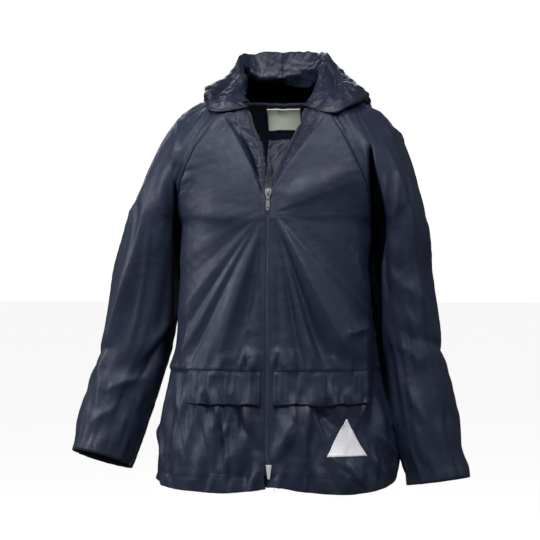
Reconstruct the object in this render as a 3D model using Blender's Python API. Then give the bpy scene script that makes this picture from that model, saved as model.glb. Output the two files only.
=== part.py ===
"""Child's hooded rain jacket, filled out as worn: raglan sleeves, hood lowered, zip open to the chest.

Frame: origin at the middle of the neck base, +Z up, the front faces -Y and +X is the wearer's left.
Tables and sizes are in millimetres; meshes are written in metres.
"""
import math

import bpy
import numpy as np

MM = 0.001

# Driving dimensions
CLOTH = 1.5            # wall of the coated nylon
GAP = 0.3              # clearance between sewn pieces
SEAM_EASE = 0.05       # added to each side of a seam where two faceted walls mitre
UNDERARM_Z = -158.0    # height of the underarm point
ARMHOLE_LEAN = 12.0    # the sleeve head's lean from level, degrees
UNDERARM_EASE = (3.0, 0.0, -2.0)    # the sleeve's underarm point stands off the body's
FRONT_EDGE = 5.0       # from the zip's middle to the edge of either front
ROUNDNESS = 2.4        # superellipse power of the body's level sections
DENT_REACH = 42.0      # how far round the side the hanging arm presses
DENT_BACK = 16.0       # middle of that dent, behind the side seam
HEM_CURVE_Z = -450.0   # below this the hem's curve is spread over the rows
HEM_LIFT_TURNS = (0.0, 45.0, 90.0, 135.0, 180.0)
HEM_LIFT = (6.0, 3.0, 13.0, 6.0, 6.0)    # how far the hem rises at those turns round the body
TAPE_WALL = 1.0
TAPE_INSIDE = 8.0      # tape sewn under the front's edge
TAPE_OUTSIDE = 4.5     # tape that shows beyond the edge
TAPE_EASE = 0.35       # extra clearance behind the folds of the front
STRIP_SHARE = 0.8      # of a narrow strip's width that the tape may take
TAPE_LINE_POINTS = 4   # panel points inward from the edge that the tape follows

SIDES = {"right": -1.0, "left": 1.0}

# Level sections of the body, from the underarm down to the hem
BODY_COLUMNS = ("z", "half_width", "front", "back", "side_dent")
BODY = np.array([
    (-158, 136, 108, 102, 12),
    (-225, 139, 112, 105, 17),
    (-300, 144, 114, 107, 12),
    (-364, 152, 117, 110, 8),
    (-406, 157, 119, 112, 5),
    (-450, 162, 121, 115, 0),
    (-490, 165, 123, 117, 0),
    (-522, 166, 124, 118, 0),
], dtype=float)
BODY_ROWS = (-522, -506, -490, -468, -446, -425, -402, -382, -362, -336, -308, -280, -252, -226,
             -203, -180, -158)

# Columns of the yoke from the underarm level to the neck: low control, high control, top point
FRONT_SEAM = {
    "left": ((150, -75, -145), (125, -100, -72), (78, -66, -3)),
    "right": ((148, -75, -145), (122, -98, -70), (71, -63, -1)),
}
BACK_SEAM = {
    "left": ((148, 84, -138), (108, 98, -44), (58, 47, 16)),
    "right": ((148, 84, -138), (106, 98, -44), (58, 47, 16)),
}
FRONT_YOKE = {
    "left": [((5, -108, -143), (5, -106, -128), (5, -104, -113)),
             ((68, -103, -132), (50, -104, -100), (29, -98, -73)),
             ((124, -76, -125), (92, -98, -75), (55, -88, -38)),
             FRONT_SEAM["left"]],
    "right": [((5, -108, -143), (5, -106, -128), (5, -104, -113)),
              ((68, -103, -132), (49, -104, -100), (27, -97, -72)),
              ((124, -76, -125), (90, -96, -72), (50, -84, -30)),
              FRONT_SEAM["right"]],
}
SLEEVE_YOKE = {
    "left": [FRONT_SEAM["left"],
             ((160, -74, -92), (132, -76, -14), (84, -42, 6)),
             ((188, 3, -62), (163, -2, 18), (82, -4, 17)),
             ((160, 72, -88), (130, 66, -6), (74, 28, 18)),
             BACK_SEAM["left"]],
    "right": [FRONT_SEAM["right"],
              ((157, -72, -96), (120, -74, -12), (80, -40, 6)),
              ((186, 3, -80), (152, -2, 18), (80, -4, 17)),
              ((157, 72, -92), (120, 66, -6), (72, 28, 18)),
              BACK_SEAM["right"]],
}
BACK_MIDDLE = [((0, 112, -112), (0, 100, -12), (0, 58, 14)),
               ((102, 93, -118), (66, 98, -22), (32, 55, 15))]
BACK_YOKE = {side: BACK_MIDDLE + [seam] for side, seam in BACK_SEAM.items()}
# Zip edge of each front above the slider, at the same stations as the front yoke
ZIP_EDGE = {
    "left": [(5, -101, -109), (12, -86, -80), (25, -71, -46), (46, -46, 3)],
    "right": [(5, -101, -109), (10, -96, -74), (17, -83, -38), (38, -54, 2)],
}
STRIP_BULGE = {"left": -5.0, "right": -2.0}     # both strips bow outward, the left one rolls inward

# Sections of the sleeves below the head: x, y, z, half width, half depth
SLEEVES = {
    "left": [(176, 4, -226, 42, 54), (195, 2, -327, 41, 50), (207, -4, -400, 43, 47), (223, -12, -512, 43, 43)],
    "right": [(182, 4, -226, 46, 54), (199, 1, -320, 49, 52), (220, -10, -396, 47, 49), (243, -33, -485, 43, 43)],
}
SLEEVE_HEAD = {"left": (39, 56), "right": (40, 56)}

# Largest folds: start, end, height (a trough is negative) and reach to either side
FOLD_ENDS = 0.12       # how far a fold's ends are from flat, as a share of its half wave
FOLDS = [
    ((12, -107, -150), (128, -80, -296), 4.5, 14.0),
    ((22, -110, -126), (104, -82, -88), 3.5, 14.0),
    ((118, -70, -335), (148, -30, -322), 4.5, 12.0),
    ((60, -112, -480), (88, -108, -522), 4.5, 13.0),
    ((110, -90, -480), (132, -75, -522), -4.0, 14.0),
    ((-28, -108, -152), (-96, -96, -148), 4.0, 14.0),
    ((-24, -110, -178), (-78, -108, -330), 3.5, 15.0),
    ((-10, -112, -180), (-40, -115, -320), -3.0, 13.0),
    ((-80, -108, -430), (-92, -105, -522), 4.5, 14.0),
    ((-38, -120, -420), (-30, -124, -522), -3.5, 13.0),
    ((-60, 104, -180), (-80, 106, -500), 5.0, 20.0),
    ((55, 106, -200), (72, 110, -510), 5.0, 20.0),
    ((0, 106, -160), (5, 118, -420), -4.0, 22.0),
    ((150, -52, -175), (190, -50, -215), 4.0, 12.0),
    ((212, -30, -300), (165, -30, -345), -4.0, 13.0),
    ((-205, -44, -205), (-232, -40, -330), 4.0, 14.0),
    ((-165, -38, -335), (-225, -44, -365), -4.5, 13.0),
]

# Hood: station round the neck (0 front raglan, 0.6 back raglan, 1 middle of the back), how far the pouch
# falls over the yoke, then the middle of its outer side, its face edge, the fold of the turned-in brim
# and the end of its hem
THROAT = -0.25
HOOD = {
    "left": [(-0.25, 3, (49, -52, 8), (47, -46, 12), (44, -42, 10), (43, -41, 8)),
             (0.0, 9, (82, -62, 14), (56, -38, 24), (52, -33, 20), (50, -30, 18)),
             (0.2, 30, (104, -36, 30), (60, -20, 36), (55, -15, 31), (53, -12, 28)),
             (0.4, 46, (112, -4, 38), (63, 0, 54), (57, 4, 48), (55, 9, 43)),
             (0.6, 74, (92, 62, 42), (67, 31, 84), (60, 28, 77), (58, 38, 64)),
             (0.8, 112, (62, 106, 20), (42, 58, 92), (37, 44, 64), (38, 53, 39)),
             (1.0, 126, (0, 122, 8), (0, 66, 96), (0, 40, 52), (0, 54, 45))],
    "right": [(-0.25, 3, (41, -60, 8), (38, -54, 11), (35, -50, 9), (34, -49, 7)),
              (0.0, 9, (76, -60, 14), (50, -36, 26), (46, -31, 22), (44, -28, 20)),
              (0.2, 18, (94, -34, 32), (49, -22, 34), (44, -17, 29), (42, -14, 26)),
              (0.4, 20, (96, -4, 38), (52, -6, 50), (46, -2, 44), (45, 3, 39)),
              (0.6, 66, (70, 62, 44), (60, 32, 84), (53, 29, 72), (54, 38, 64)),
              (0.8, 108, (60, 106, 20), (41, 58, 92), (35, 44, 55), (36, 55, 47)),
              (1.0, 126, (0, 122, 8), (0, 66, 96), (0, 40, 52), (0, 54, 45))],
}
HOOD_CLEAR = 4.0       # middle of the pouch's inner side above the middle of the yoke, at the neck seam
HOOD_EASE = 4.5        # further clearance that it gains lower down
HOOD_EASE_LENGTH = 25.0
HOOD_TURN = 9.0        # height of the turn at the pouch's lowest line
HOOD_FULL_FALL = 30.0  # a shorter pouch has a lower turn

# What is sewn on, with the rows and columns of points of each
FLAP_POINTS = (4, 12)
TRIANGLE_POINTS = (6, 7)
LABEL_POINTS = (4, 7)
FLAP_Z = (-362.0, -402.0)
FLAP_X = {"left": (9.0, 131.0), "right": (9.0, 109.0)}
FLAP_LIFT = 1.8        # the free lower edge stands off the front
TRIANGLE_X = 104.0
TRIANGLE_Z = (-421.0, -472.0)
TRIANGLE_BASE = 50.0
TRIANGLE_TIP = 1.5     # width left at its apex
TRIANGLE_WALL = 1.0
LABEL_WIDTH = 48.0
LABEL_Z = (10.0, -19.0)
LABEL_WALL = 1.0
FLAP_EASE = 0.3
STICKER_CLEAR = 0.8

# Zip guard: cloth strip behind the zip, sewn inside the left front. Below the slider each row has these
# distances from the zip's middle and depths behind the tapes; above it the rows are free points.
GUARD_Z = (-500.0, -440.0, -380.0, -320.0, -262.0, -205.0, -158.0, -124.0, -111.0)
GUARD_SEWN = 17.0
GUARD_ACROSS = (11.0, 2.0, -9.0)
GUARD_BEHIND = (3.0, 5.5, 5.0)
GUARD_SLIDER_Z = -124.0       # from here up it passes behind the slider
GUARD_SLIDER_BEHIND = (4.0, 7.8, 7.8)
GUARD_OPEN = (
    ((18, -90, -95), (11, -85, -96), (3, -84, -97), (-7, -87, -98)),
    ((20, -80, -76), (13, -75, -78), (4, -75, -79), (-6, -79, -80)),
    ((24, -70, -59), (16, -67, -60), (6, -68, -61), (-5, -72, -62)),
    ((29, -63, -43), (20, -60, -43), (8, -61, -44), (-4, -66, -44)),
)

# Zip hardware
SLIDER_Z = (-122.5, -112.0)
SLIDER_WIDTH = 8.4
SLIDER_FOOT = 6.0      # its width at the lower end
SLIDER_TAPER = 3.0
POST_DEPTH = 1.4
PLATE_WALL = 1.6
MOUTH_WIDTH = 2.2
MOUTH_HEIGHT = 3.0
BAIL_WIDTH = 1.6
BAIL_WALL = 1.0
BAIL_LENGTH = 7.0
BAIL_RISE = 2.6        # from the slider's face to the underside of the arch
BAIL_SINK = 0.3        # how far the arch's feet go into the face
BAIL_SHOULDER = 0.7    # height of the arch's shoulders, as a share of its rise
BAIL_TOP = 0.6         # length of its flat top, as a share of its length
TAB_WIDTH = 5.0
TAB_LENGTH = 25.0
TAB_WALL = 1.2
TAB_BAR = 1.2          # bar at the tab's top, above its hole
TAB_HOLE = (2.4, 4.6)
# Half outline of the tab from its foot to its top: share of the half width, share of the length
TAB_OUTLINE = ((0.55, 0.0), (1.0, 0.08), (1.0, 0.4), (0.86, 0.6), (0.9, 0.976), (0.7, 1.0))
BOX_SIZE = (7.6, 1.8, 19.0)
BOX_FOOT = 3.2
BOX_Z = -500.0
BOX_X = 3.5
BOX_EASE = 0.6


def clear_scene():
    for item in list(bpy.data.objects):
        bpy.data.objects.remove(item, do_unlink=True)


def finish(name, colour, roughness, metallic=0.0):
    made = bpy.data.materials.new(name)
    made.use_nodes = True
    shader = made.node_tree.nodes["Principled BSDF"]
    shader.inputs["Base Color"].default_value = (*colour, 1.0)
    shader.inputs["Roughness"].default_value = roughness
    shader.inputs["Metallic"].default_value = metallic
    return made


def unit(vectors):
    return vectors / np.linalg.norm(vectors, axis=-1, keepdims=True)


def through(rows, at):
    """Smooth curve through evenly spaced rows, read at parameters from 0 to 1."""
    rows = np.asarray(rows, dtype=float)
    at = np.atleast_1d(at) * (len(rows) - 1)
    cell = np.clip(at.astype(int), 0, len(rows) - 2)
    part = (at - cell).reshape((-1,) + (1,) * (rows.ndim - 1))
    slopes = np.gradient(rows, axis=0)
    low, high = rows[cell], rows[cell + 1]
    return ((1 + 2 * part) * (1 - part) ** 2 * low + part * (1 - part) ** 2 * slopes[cell]
            + part ** 2 * (3 - 2 * part) * high + part ** 2 * (part - 1) * slopes[cell + 1])


def bezier(start, low, high, end, steps):
    part = steps.reshape(-1, 1, 1)
    return ((1 - part) ** 3 * start + 3 * part * (1 - part) ** 2 * low
            + 3 * part ** 2 * (1 - part) * high + part ** 3 * end)


def mirrored(points, sign):
    return np.asarray(points, dtype=float) * (sign, 1.0, 1.0)


# ---- body: level sections -------------------------------------------------------------------------

def body_row(z, turns):
    """Points of one level section; turn 0 is the middle of the front, 90 the side, 180 the back."""
    half, front, back, dent = (np.interp(-z, -BODY[:, 0], BODY[:, k]) for k in range(1, len(BODY_COLUMNS)))
    angle = np.radians(turns)
    power = 2.0 / ROUNDNESS
    x = half * np.abs(np.sin(angle)) ** power
    depth = np.where(np.cos(angle) > 0, front, back)
    y = -depth * np.sign(np.cos(angle)) * np.abs(np.cos(angle)) ** power
    x = x - dent * np.exp(-(((y - DENT_BACK) / DENT_REACH) ** 2)) * np.sin(angle)
    lift = np.interp(turns, HEM_LIFT_TURNS, HEM_LIFT)
    drop = max(0.0, (HEM_CURVE_Z - z) / (HEM_CURVE_Z - BODY[-1, 0]))
    return np.stack([x, y, z + lift * drop], axis=-1)


def body_rows(turns):
    return np.array([body_row(z, turns) for z in BODY_ROWS])


def yoke_rows(bottom, controls, at, steps, sign):
    """Rows from the underarm level up to the neck, one Bezier column for each station."""
    low, high, end = (through(mirrored([row[k] for row in controls], sign), at) for k in range(3))
    return bezier(bottom, low, high, end, steps)


# ---- sleeves: sections square to a bent axis ------------------------------------------------------

def underarm(sign):
    return mirrored(body_row(UNDERARM_Z, np.array([90.0]))[0], sign)


def sleeve_sections(side):
    sign = SIDES[side]
    wide, deep = SLEEVE_HEAD[side]
    lean = math.radians(ARMHOLE_LEAN)
    ease = mirrored(UNDERARM_EASE, sign)
    head = underarm(sign) + ease + wide * np.array([sign * math.cos(lean), 0.0, math.sin(lean)])
    rows = [(*head, wide, deep)]
    rows += [(sign * x, y, z, w, d) for x, y, z, w, d in SLEEVES[side]]
    return np.array(rows)


def sleeve_ring(section, direction, sign, turns):
    """One section; turn 0 is the underarm, 90 faces forward and 180 is the outer side."""
    outward = unit(np.array([sign, 0.0, 0.0]) - direction * direction[0] * sign)
    forward = np.cross(direction, outward) * sign
    forward = forward * -np.sign(forward[1])
    angle = np.radians(turns)[:, None]
    return section[:3] - section[3] * np.cos(angle) * outward + section[4] * np.sin(angle) * forward


def sleeve_rows(side, count, turns):
    sign = SIDES[side]
    sections = sleeve_sections(side)
    at = np.linspace(0, 1, count)
    placed = through(sections, at)
    lean = math.radians(ARMHOLE_LEAN)
    directions = unit(np.gradient(placed[:, :3], axis=0))
    directions[0] = (sign * math.sin(lean), 0.0, -math.cos(lean))
    rows = [sleeve_ring(placed[k], directions[k], sign, turns) for k in range(count)]
    return np.array(rows[::-1])


# ---- sheets: walls on a grid of middle points -----------------------------------------------------

def grid_normals(grid, before=None, after=None):
    """Outward normals; before and after are the neighbouring pieces' columns, so seams share a mitre."""
    wide = [grid[:, :1] if before is None else before[:, None], grid,
            grid[:, -1:] if after is None else after[:, None]]
    wide = np.concatenate(wide, axis=1)
    across = wide[:, 2:] - wide[:, :-2]
    along = np.gradient(grid, axis=0)
    return unit(np.cross(across, along))


def folded(grid, normals, folds):
    """Moves points along their normals by soft ridges and troughs that run between two points."""
    shift = np.zeros(grid.shape[:2])
    for start, end, height, reach in folds:
        start, end = np.array(start, dtype=float), np.array(end, dtype=float)
        line = end - start
        along = np.clip(((grid - start) @ line) / (line @ line), 0.0, 1.0)
        away = np.linalg.norm(grid - start - along[..., None] * line, axis=-1)
        taper = np.sin(math.pi * (FOLD_ENDS + (1 - 2 * FOLD_ENDS) * along))
        shift += height * np.exp(-((away / reach) ** 2)) * taper
    return grid + normals * shift[..., None]


def drawn_in(grid, sides):
    """Draws the named edges in by half a seam gap."""
    grid = grid.copy()
    half = GAP / 2 + SEAM_EASE
    for side in sides:
        edge, inner = {"first": (0, 1), "last": (-1, -2)}[side]
        grid[:, edge] += unit(grid[:, inner] - grid[:, edge]) * half
    return grid


def wall(grid, normals, thickness):
    """Closed solid of one grid of middle points, with its rim closed by a strip of quads."""
    rows, columns = grid.shape[:2]
    outer = grid + normals * thickness / 2
    inner = grid - normals * thickness / 2
    points = np.concatenate([outer.reshape(-1, 3), inner.reshape(-1, 3)])
    index = np.arange(rows * columns).reshape(rows, columns)
    behind = rows * columns
    faces = []
    for r in range(rows - 1):
        for c in range(columns - 1):
            a, b, d, e = index[r, c], index[r, c + 1], index[r + 1, c + 1], index[r + 1, c]
            faces.append((a, b, d, e))
            faces.append((a + behind, e + behind, d + behind, b + behind))
    rim = [*index[0, :], *index[1:, -1], *index[-1, -2::-1], *index[-2:0:-1, 0]]
    for one, two in zip(rim, rim[1:] + rim[:1]):
        faces.append((one, one + behind, two + behind, two))
    return points, faces


def make(name, points, faces, material, origin=(0.0, 0.0, 0.0)):
    mesh = bpy.data.meshes.new(name)
    placed = (np.asarray(points, dtype=float) - np.asarray(origin, dtype=float)) * MM
    mesh.from_pydata(placed.tolist(), [], [tuple(int(k) for k in face) for face in faces])
    mesh.materials.append(material)
    mesh.shade_smooth()
    item = bpy.data.objects.new(name, mesh)
    item.location = tuple(value * MM for value in origin)
    bpy.context.collection.objects.link(item)
    return item


# ---- panels ---------------------------------------------------------------------------------------

FRONT_STATIONS = np.linspace(0.0, 1.0, 10)
BACK_STATIONS = np.linspace(0.0, 1.0, 7)
SLEEVE_TURNS = np.linspace(0.0, 360.0, 17)
YOKE_STEPS = np.linspace(0.0, 1.0, 9)[1:]
STRIP_STEPS = np.linspace(0.0, 1.0, 4)[1:]
TUBE_ROWS = 11
BODY_COUNT = len(BODY_ROWS)
YOKE_COUNT = len(YOKE_STEPS)


def front_grid(side):
    """One front, from hem to neckline, then the strip beside the open zip."""
    sign = SIDES[side]
    body = mirrored(body_rows(FRONT_STATIONS * 90.0), sign)
    body[:, 0, 0] = sign * FRONT_EDGE
    yoke = yoke_rows(body[-1], FRONT_YOKE[side], FRONT_STATIONS, YOKE_STEPS, sign)
    neckline = yoke[-1]
    zip_edge = through(mirrored(ZIP_EDGE[side], sign), FRONT_STATIONS)
    part = STRIP_STEPS.reshape(-1, 1, 1)
    bulge = np.array([0.0, STRIP_BULGE[side], 0.0]) * FRONT_STATIONS[:, None]
    strip = neckline + (zip_edge - neckline) * part + 4 * part * (1 - part) * bulge
    return np.concatenate([body, yoke, strip])


def back_grid():
    halves = []
    for side, sign in SIDES.items():
        body = mirrored(body_rows(180.0 - BACK_STATIONS * 90.0), sign)
        yoke = yoke_rows(body[-1], BACK_YOKE[side], BACK_STATIONS, YOKE_STEPS, sign)
        halves.append(np.concatenate([body, yoke]))
    right, left = halves
    return np.concatenate([right[:, ::-1], left[:, 1:]], axis=1)


def sleeve_grid(side):
    tube = sleeve_rows(side, TUBE_ROWS, SLEEVE_TURNS)
    yoke = yoke_rows(tube[-1], SLEEVE_YOKE[side], SLEEVE_TURNS / 360.0, YOKE_STEPS, SIDES[side])
    return np.concatenate([tube, yoke])


def neighbours(grids, name):
    """The columns just past the first and last column of a panel, across its seams."""
    grid = grids[name]
    if name == "back":
        past = [np.concatenate([grids["front_" + side][:BODY_COUNT, -2], grids["sleeve_" + side][TUBE_ROWS:, -2]])
                for side in SIDES]
        return past[0], past[1]
    kind, side = name.split("_")
    beside = 1 if side == "right" else -2
    front, sleeve, back = grids["front_" + side], grids["sleeve_" + side], grids["back"]
    if kind == "sleeve":
        top = slice(BODY_COUNT, BODY_COUNT + YOKE_COUNT)
        before = np.concatenate([grid[:TUBE_ROWS, -2], front[top, -2]])
        return before, np.concatenate([grid[:TUBE_ROWS, 1], back[BODY_COUNT:, beside]])
    free = grid[BODY_COUNT + YOKE_COUNT:, -1]
    return grid[:, 0], np.concatenate([back[:BODY_COUNT, beside], sleeve[TUBE_ROWS:, 1], free])


def outward(name, grid, before, after):
    """Normals that point out of the jacket: only the left front and sleeve run anticlockwise from above."""
    flip = 1.0 if name.endswith("left") else -1.0
    return grid_normals(grid, before, after) * flip


def panels():
    """Middle points and outward normals of the five large panels."""
    flat = {"back": back_grid()}
    for side in SIDES:
        flat["front_" + side] = front_grid(side)
        flat["sleeve_" + side] = sleeve_grid(side)
    bent = {name: folded(grid, outward(name, grid, *neighbours(flat, name)), FOLDS)
            for name, grid in flat.items()}
    return {name: (grid, outward(name, grid, *neighbours(bent, name))) for name, grid in bent.items()}


def sheet(name, grid, normals, material, thickness=CLOTH, seams=()):
    """Makes the wall of one piece from middle points and normals, drawn in by half a gap at its seams."""
    across, along = grid[1:-1, 2:] - grid[1:-1, :-2], grid[2:, 1:-1] - grid[:-2, 1:-1]
    grid = drawn_in(grid, seams)
    if float(np.sum(np.cross(across, along) * normals[1:-1, 1:-1])) < 0:
        grid, normals = grid[:, ::-1], normals[:, ::-1]
    return make(name, *wall(grid, normals, thickness), material)


def on_panel(panel, rows, columns, lift):
    """Points of a grid moved out from a panel, read at fractional rows and columns."""
    grid, normals = panel
    rows, columns, lift = np.broadcast_arrays(np.asarray(rows, dtype=float), columns, lift)
    r = np.clip(rows.astype(int), 0, grid.shape[0] - 2)
    c = np.clip(columns.astype(int), 0, grid.shape[1] - 2)
    fr, fc = (rows - r)[..., None], (columns - c)[..., None]

    def read(field):
        low = field[r, c] * (1 - fc) + field[r, c + 1] * fc
        high = field[r + 1, c] * (1 - fc) + field[r + 1, c + 1] * fc
        return low * (1 - fr) + high * fr

    facing = unit(read(normals))
    return read(grid) + facing * lift[..., None], facing


def column_at(panel, row, x):
    """Fractional column of a front where its level row passes the given distance from the middle."""
    grid = panel[0]
    r = min(int(row), grid.shape[0] - 2)
    line = np.abs(grid[r, :, 0] * (1 - row + r) + grid[r + 1, :, 0] * (row - r))
    reach = int(np.argmax(line))
    return np.interp(x, line[:reach + 1], np.arange(reach + 1))


def row_at(z):
    return float(np.interp(z, BODY_ROWS, np.arange(BODY_COUNT)))


# ---- hood -----------------------------------------------------------------------------------------

HOOD_STATIONS = np.concatenate([np.linspace(THROAT, 0.0, 4)[:-1], np.linspace(0.0, 1.0, 14)])
BACK_SEAM_STATION = 0.6
THROAT_COLUMNS = 3     # columns of the strip that the hood's first stations lie over
INNER_STEPS = np.linspace(0.0, 1.0, 7)
OUTER_STEPS = np.linspace(0.0, 1.0, 6)


def line_below(built, side, station):
    """Yoke points and normals from the neck edge downwards, where a hood station meets it."""
    if station < 0:
        grid, normals = built["front_" + side]
        row = (BODY_COUNT + YOKE_COUNT - 1) + station / THROAT * len(STRIP_STEPS)
        columns = np.arange(grid.shape[1] - 1, grid.shape[1] - 1 - THROAT_COLUMNS, -1)
        return on_panel((grid, normals), row, columns, 0.0)
    if station <= BACK_SEAM_STATION:
        grid, normals = built["sleeve_" + side]
        column = station / BACK_SEAM_STATION * (grid.shape[1] - 1)
    else:
        grid, normals = built["back"]
        middle = (grid.shape[1] - 1) / 2
        column = middle + SIDES[side] * middle * (1 - station) / (1 - BACK_SEAM_STATION)
    rows = np.arange(grid.shape[0] - 1, grid.shape[0] - YOKE_COUNT - 1, -1)
    return on_panel((grid, normals), rows, column, 0.0)


def walk(points, normals, distances, lift):
    """Points at distances along a line, lifted along its normals."""
    steps = np.concatenate([[0.0], np.cumsum(np.linalg.norm(np.diff(points, axis=0), axis=1))])
    place = [[np.interp(d, steps, points[:, k]) for k in range(3)] for d in distances]
    facing = [[np.interp(d, steps, normals[:, k]) for k in range(3)] for d in distances]
    return np.array(place) + unit(np.array(facing)) * np.asarray(lift)[:, None]


def hood_grid(built, side):
    """One half of the hood: down over the yoke, round the turn, up to the face edge and into the brim."""
    table = HOOD[side]
    keys = np.array([row[0] for row in table])
    at = np.interp(HOOD_STATIONS, keys, np.arange(len(keys))) / (len(keys) - 1)
    fall = through([[row[1]] for row in table], at)[:, 0]
    lines = (through(mirrored([row[k] for row in table], SIDES[side]), at) for k in (2, 3, 4, 5))
    outer, edge, fold, end = lines
    columns = []
    for k, station in enumerate(HOOD_STATIONS):
        points, normals = line_below(built, side, station)
        turn = HOOD_TURN * min(1.0, fall[k] / HOOD_FULL_FALL)
        depths = [*(fall[k] * INNER_STEPS), fall[k] + turn / 2, fall[k]]
        clear = HOOD_CLEAR + HOOD_EASE * (1 - np.exp(-fall[k] * INNER_STEPS / HOOD_EASE_LENGTH))
        lifts = [*clear, clear[-1] + turn / 2, clear[-1] + turn]
        under = walk(points, normals, depths, lifts)
        over = through([under[-1], outer[k], edge[k]], OUTER_STEPS)[1:]
        columns.append(np.concatenate([under, over, [fold[k], end[k]]]))
    return np.stack(columns, axis=1)


# ---- zip ------------------------------------------------------------------------------------------

def zip_tape(built, side):
    """Tape sewn inside the front's edge, up to the slider and on along the open edge."""
    grid, normals = built["front_" + side]
    first = int(math.ceil(row_at(BOX_Z)))
    reach = TAPE_LINE_POINTS
    lines = [(grid[r, :reach], normals[r, :reach]) for r in range(first, grid.shape[0] - 1)]
    lines += [(grid[::-1, c][:reach], normals[::-1, c][:reach]) for c in range(1, grid.shape[1])]
    lift = -(CLOTH / 2 + GAP + TAPE_EASE + TAPE_WALL / 2)
    points, facings = [], []
    for line, facing in lines:
        room = np.linalg.norm(line[-1] - line[0]) * STRIP_SHARE
        near, far = walk(line, facing, (0.0, min(TAPE_INSIDE, room)), (lift, lift))
        inward = line[1] - line[0]
        inward = unit(inward - inward @ facing[0] * facing[0])
        points.append((near - inward * TAPE_OUTSIDE, near, far))
        facings.append([facing[0]] * 3)
    return np.array(points), np.array(facings)


def block(low, high):
    """A box between two corners."""
    corners = [(x, y, z) for z in (low[2], high[2]) for y in (low[1], high[1]) for x in (low[0], high[0])]
    faces = [(0, 2, 3, 1), (4, 5, 7, 6), (0, 1, 5, 4), (2, 6, 7, 3), (0, 4, 6, 2), (1, 3, 7, 5)]
    return np.array(corners), faces


def prism(outline, low, high):
    """Extrudes an outline of (x, z) points, counter-clockwise seen from the front, from y low to y high."""
    count = len(outline)
    points = [(x, low, z) for x, z in outline] + [(x, high, z) for x, z in outline]
    faces = [tuple(range(count)), tuple(range(2 * count - 1, count - 1, -1))]
    faces += [(k, k + count, (k + 1) % count + count, (k + 1) % count) for k in range(count)]
    return np.array(points), faces


def combine(body, tool_points, tool_faces, operation, material):
    """Joins or cuts one solid with another through a Boolean modifier."""
    tool = make(body.name + "_tool_%d" % len(body.modifiers), tool_points, tool_faces, material)
    tool.hide_render = True
    tool.display_type = "WIRE"
    step = body.modifiers.new(operation.lower(), "BOOLEAN")
    step.operation = operation
    step.solver = "EXACT"
    step.object = tool


def tape_depth(built, z):
    """Depth of the tapes' middle at a height below the slider's top."""
    panel = built["front_left"]
    steps = np.arange(BODY_COUNT + YOKE_COUNT)
    row = float(np.interp(z, panel[0][steps, 0, 2], steps))
    at, facing = on_panel(panel, row, 0.0, 0.0)
    return float((at - facing * (CLOTH / 2 + GAP + TAPE_EASE + TAPE_WALL / 2))[1])


def zip_guard(built, nylon):
    """The guard's middle points, from its foot to its free top."""
    panel = built["front_left"]
    steps = np.arange(BODY_COUNT + YOKE_COUNT)
    rows = []
    for z in GUARD_Z:
        row = float(np.interp(z, panel[0][steps, 0, 2], steps))
        sewn = on_panel(panel, row, column_at(panel, row, GUARD_SEWN), -(CLOTH + GAP + FLAP_EASE))[0]
        behind = GUARD_SLIDER_BEHIND if z >= GUARD_SLIDER_Z else GUARD_BEHIND
        rows.append([sewn] + [(x, tape_depth(built, z) + depth, z) for x, depth in zip(GUARD_ACROSS, behind)])
    grid = np.array(rows + list(GUARD_OPEN), dtype=float)
    sheet("zip_guard", grid, grid_normals(grid), nylon)


def leaned(points, pivot, lean):
    """Turns points about the X line through a pivot, so that what hangs follows the chest."""
    off = np.asarray(points, dtype=float) - pivot
    y = off[:, 1] * math.cos(lean) + off[:, 2] * math.sin(lean)
    z = off[:, 2] * math.cos(lean) - off[:, 1] * math.sin(lean)
    return np.stack([off[:, 0], y, z], axis=1) + pivot


def zip_hardware(built, metal):
    """Slider closed round the tapes with a bail on its front, and the tab that hangs from the bail."""
    low, high = SLIDER_Z
    middle = (low + high) / 2
    tape_y = tape_depth(built, middle)
    lean = math.atan2(tape_y - tape_depth(built, middle - TAB_LENGTH), TAB_LENGTH)
    pivot = np.array([0.0, tape_y, middle])
    half = SLIDER_WIDTH / 2
    front, back = tape_y - MOUTH_HEIGHT / 2, tape_y + MOUTH_HEIGHT / 2
    face = front - PLATE_WALL
    foot = SLIDER_FOOT / 2
    plate = [(-foot, low), (foot, low), (half, low + SLIDER_TAPER), (half, high),
             (-half, high), (-half, low + SLIDER_TAPER)]

    def placed(solid):
        return leaned(solid[0], pivot, lean), solid[1]

    slider = make("zip_slider", *placed(prism(plate, face, front)), metal)
    combine(slider, *placed(prism(plate, back, back + PLATE_WALL)), "UNION", metal)
    post = block((-MOUTH_WIDTH / 2, front - PLATE_WALL / 2, high - POST_DEPTH),
                 (MOUTH_WIDTH / 2, back + PLATE_WALL / 2, high + POST_DEPTH / 2))
    combine(slider, *placed(post), "UNION", metal)
    combine(slider, *placed(bail(face, middle)), "UNION", metal)
    hinge = leaned([(0.0, face - BAIL_RISE / 2, middle)], pivot, lean)[0]
    pull_tab(hinge, lean, metal)


def bail(face, middle):
    """Arch on the slider's front that holds the tab's bar."""
    half = []
    for reach, rise in ((BAIL_LENGTH / 2, BAIL_RISE + BAIL_WALL), (BAIL_LENGTH / 2 - BAIL_WALL, BAIL_RISE)):
        half.append([(BAIL_SINK, reach), (-rise * BAIL_SHOULDER, reach), (-rise, reach * BAIL_TOP)])
    over, under = half
    arch = [(y, -z) for y, z in over] + over[::-1] + under + [(y, -z) for y, z in under[::-1]]
    count = len(arch)
    points = [(x, face + y, middle + z) for x in (-BAIL_WIDTH / 2, BAIL_WIDTH / 2) for y, z in arch]
    faces = [tuple(range(count)), tuple(range(2 * count - 1, count - 1, -1))]
    faces += [((k + 1) % count, k, k + count, (k + 1) % count + count) for k in range(count)]
    return points, faces


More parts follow.
